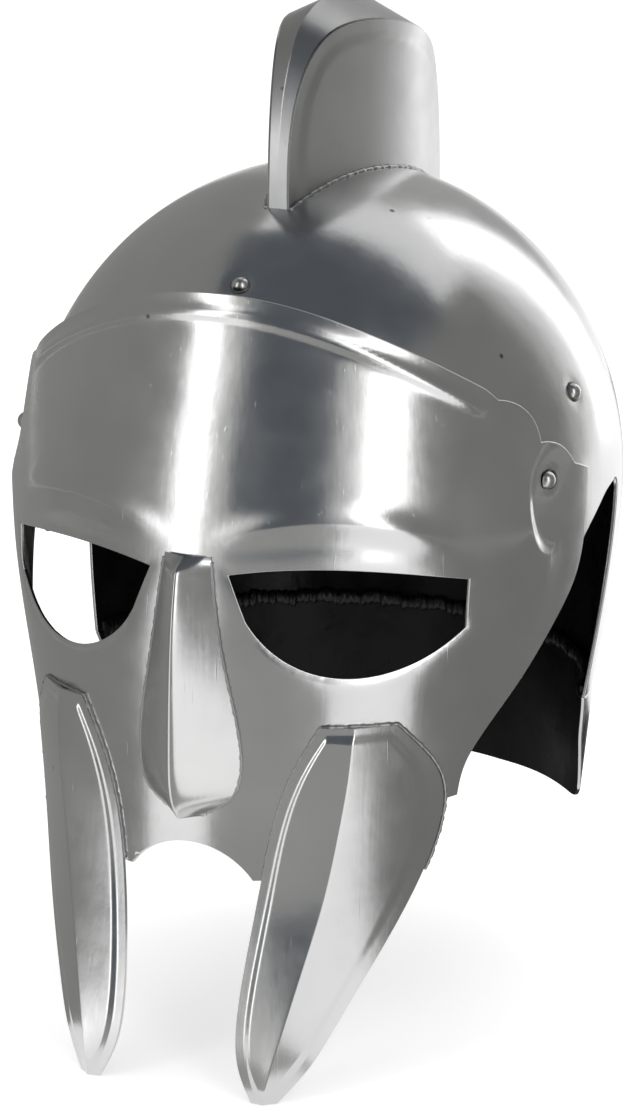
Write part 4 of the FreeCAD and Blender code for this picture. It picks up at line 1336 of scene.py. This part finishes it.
def at_ear(side, local):
    """Takes outward, rearward and upward distances at an ear to places on the helmet."""
    origin, out, back = ear_axes(side)
    return origin + local[..., :1] * out + local[..., 1:2] * back + local[..., 2:] * np.array([0, 0, 1.0])


run_face = strap_gap + keeper_thickness + 2 * keeper_gap
fold_radius = wire + bar_gap + strap_thickness / 2
bar_out = -run_face - strap_thickness - wire - bar_gap
centre_off = strap_thickness / 2
head = [(-strap_gap - strap_lean - centre_off, strap_top), (-strap_gap - centre_off, -strap_knee),
        (-run_face - centre_off, -strap_knee - strap_step)]


def half_turn(centre, radius, start, end, count=14):
    """Points along an arc round a centre, from one angle to another."""
    angles = np.radians(np.linspace(start, end, count))
    return np.array(centre) + radius * np.stack([np.cos(angles), np.sin(angles)], 1)


def strap_outline(end):
    """The flat strap: a long box with round corners, larger at the end that is riveted."""
    half, arcs = strap_width / 2, []
    for x, y, size, count in ((0, -half, 4.0, 12), (end, -half, 2.0, 9), (end, half, 2.0, 9),
                              (0, half, 4.0, 12)):
        inward = np.array((1 if x == 0 else -1, -np.sign(y))) * size
        corner = [(x, y) + inward * share for share in ((0, 1), (0.29, 0.29), (1, 0))]
        arcs.append(arc_line(*(corner if (x == 0) == (y < 0) else corner[::-1]), count))
    edges = [straight(arc[-1], after[0]) for arc, after in zip(arcs, arcs[1:] + arcs[:1])]
    return closed([line for pair in zip(arcs, edges) for line in pair], 0.9)


def strap_piece(name, line, holes, nodes, side):
    """A flat pattern, length by width with a round top, laid along its path."""
    line = soften(evenly(line, 0.8), 2)
    along = lengths(line)
    flat, faces = cut_sheet(strap_outline(along[-1]), holes, 1.1)
    out, up = (np.interp(flat[:, 0], along, line[:, i]) for i in (0, 1))
    points = at_ear(side, np.stack([out, flat[:, 1], up], 1))
    thing = make_piece(name, points, faces, [black_leather], nodes)
    thicken(thing, strap_thickness * leather_fill, 0.5, 0.0)


print("strap helpers ready")

# %% [markdown]
# The short half runs down from the rivet, steps in past its keeper, turns round the
# buckle's bar and lies back against itself. A slot at the turn lets the prong through.

# %% Buckle half
back_out = bar_out - wire - bar_gap - centre_off
close_out = -run_face - strap_thickness - layer_gap / 2 - centre_off
run_out = -run_face - centre_off
short_end = (close_out, -short_run + short_return)
short_line = np.concatenate([
    *chain((*head, (run_out, -short_run)), (18, 12, 30)),
    half_turn((bar_out, -short_run), fold_radius, 0, -180, 24)[:-1],
    *chain(((back_out, -short_run), (close_out, -short_run + short_return / 2), short_end), (14, 12)),
    [short_end]])
slot_half, slot_rise = 2.3, 10.0
to_bar = np.linalg.norm(short_line - (run_out, -short_run), axis=1)
drop_to_bar = lengths(short_line)[np.argmin(to_bar)]
slot_start, slot_end = drop_to_bar - slot_rise, drop_to_bar + math.pi * fold_radius + slot_rise * 0.95
slot = closed([half_turn((slot_start + slot_half, 0), slot_half, 90, 270, 14),
               straight((slot_start + slot_half, -slot_half), (slot_end - slot_half, -slot_half)),
               half_turn((slot_end - slot_half, 0), slot_half, -90, 90, 14),
               straight((slot_end - slot_half, slot_half), (slot_start + slot_half, slot_half))], 0.8)
strap_piece("chin_strap_buckle_half", short_line, [slot], ["chin_strap_short"], 1)

# %% [markdown]
# The long half goes down and up in five layers, each joined to the next by half a
# turn, and has five punched holes near its tip.

# %% Long half
pitch = strap_thickness + layer_gap
lines = chain((*head, (run_out, -long_run)), (18, 12, 30))
for index in range(1, layers):
    here = run_out - index * pitch
    low_turn = index % 2 == 1
    level, other = (-long_run, -fold_top) if low_turn else (-fold_top, -long_run)
    turn_round = (0, -180) if low_turn else (0, 180)
    lines.append(half_turn((here + pitch / 2, level), pitch / 2, *turn_round, 12)[:-1])
    lines.append(straight((here, level), (here, other), 30)[:-1])
long_line = np.concatenate(lines + [[(here, other)]])
long_length = lengths(long_line)[-1]
hole_start, hole_pitch, hole_radius = 8.0, 6.5, 1.3
hole_places = long_length - hole_start - hole_pitch * np.arange(5)
punched = [closed([half_turn((place, 0), hole_radius, 0, 360, 16)], 0.7) for place in hole_places]
strap_piece("chin_strap_long_half", long_line, punched, ["chin_strap_long"], -1)

# %% [markdown]
# A keeper is a strip sewn into a loop: a rounded rectangle carried round another.

# %% Keepers


def keeper(name, depth, level, side, nodes):
    """A strip sewn into a loop round the layers, from a level up."""
    gap = keeper_gap + keeper_thickness / 2
    outline = evenly(ring(rounded_box(depth + 2 * gap, strap_width + 2 * gap, 1.6, 7)), 0.8)[:-1]
    centre = (-run_face - depth / 2, 0, level + keeper_height / 2)
    path = at_ear(side, np.insert(outline, 2, 0, axis=1) + centre)
    across = np.cross(directions(path, True), (0, 0, 1))
    profile = rounded_box(keeper_thickness * 0.96, keeper_height, 0.6)
    points, faces = sweep(path, across, (0, 0, 1), profile, True)
    make_piece(name, points, faces, [black_leather], nodes)


keeper("keeper_short", 2 * strap_thickness + layer_gap / 2, -short_run + slot_rise + keeper_gap, 1,
       ["strap_keeper_short"])
keeper("keeper_long", layers * strap_thickness + (layers - 1) * layer_gap, -(long_run + fold_top) / 2, -1,
       ["strap_keeper_long"])

# %% [markdown]
# Last come the view settings and the two boxes. Rolled edges and solder may take the
# dressed helmet a fraction of a millimetre past its solids, and no more.

# %% Finish
bpy.context.scene.view_settings.view_transform = "Standard"
low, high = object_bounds()
print("dressed box", [round(v, 4) for v in (*low, *high)])
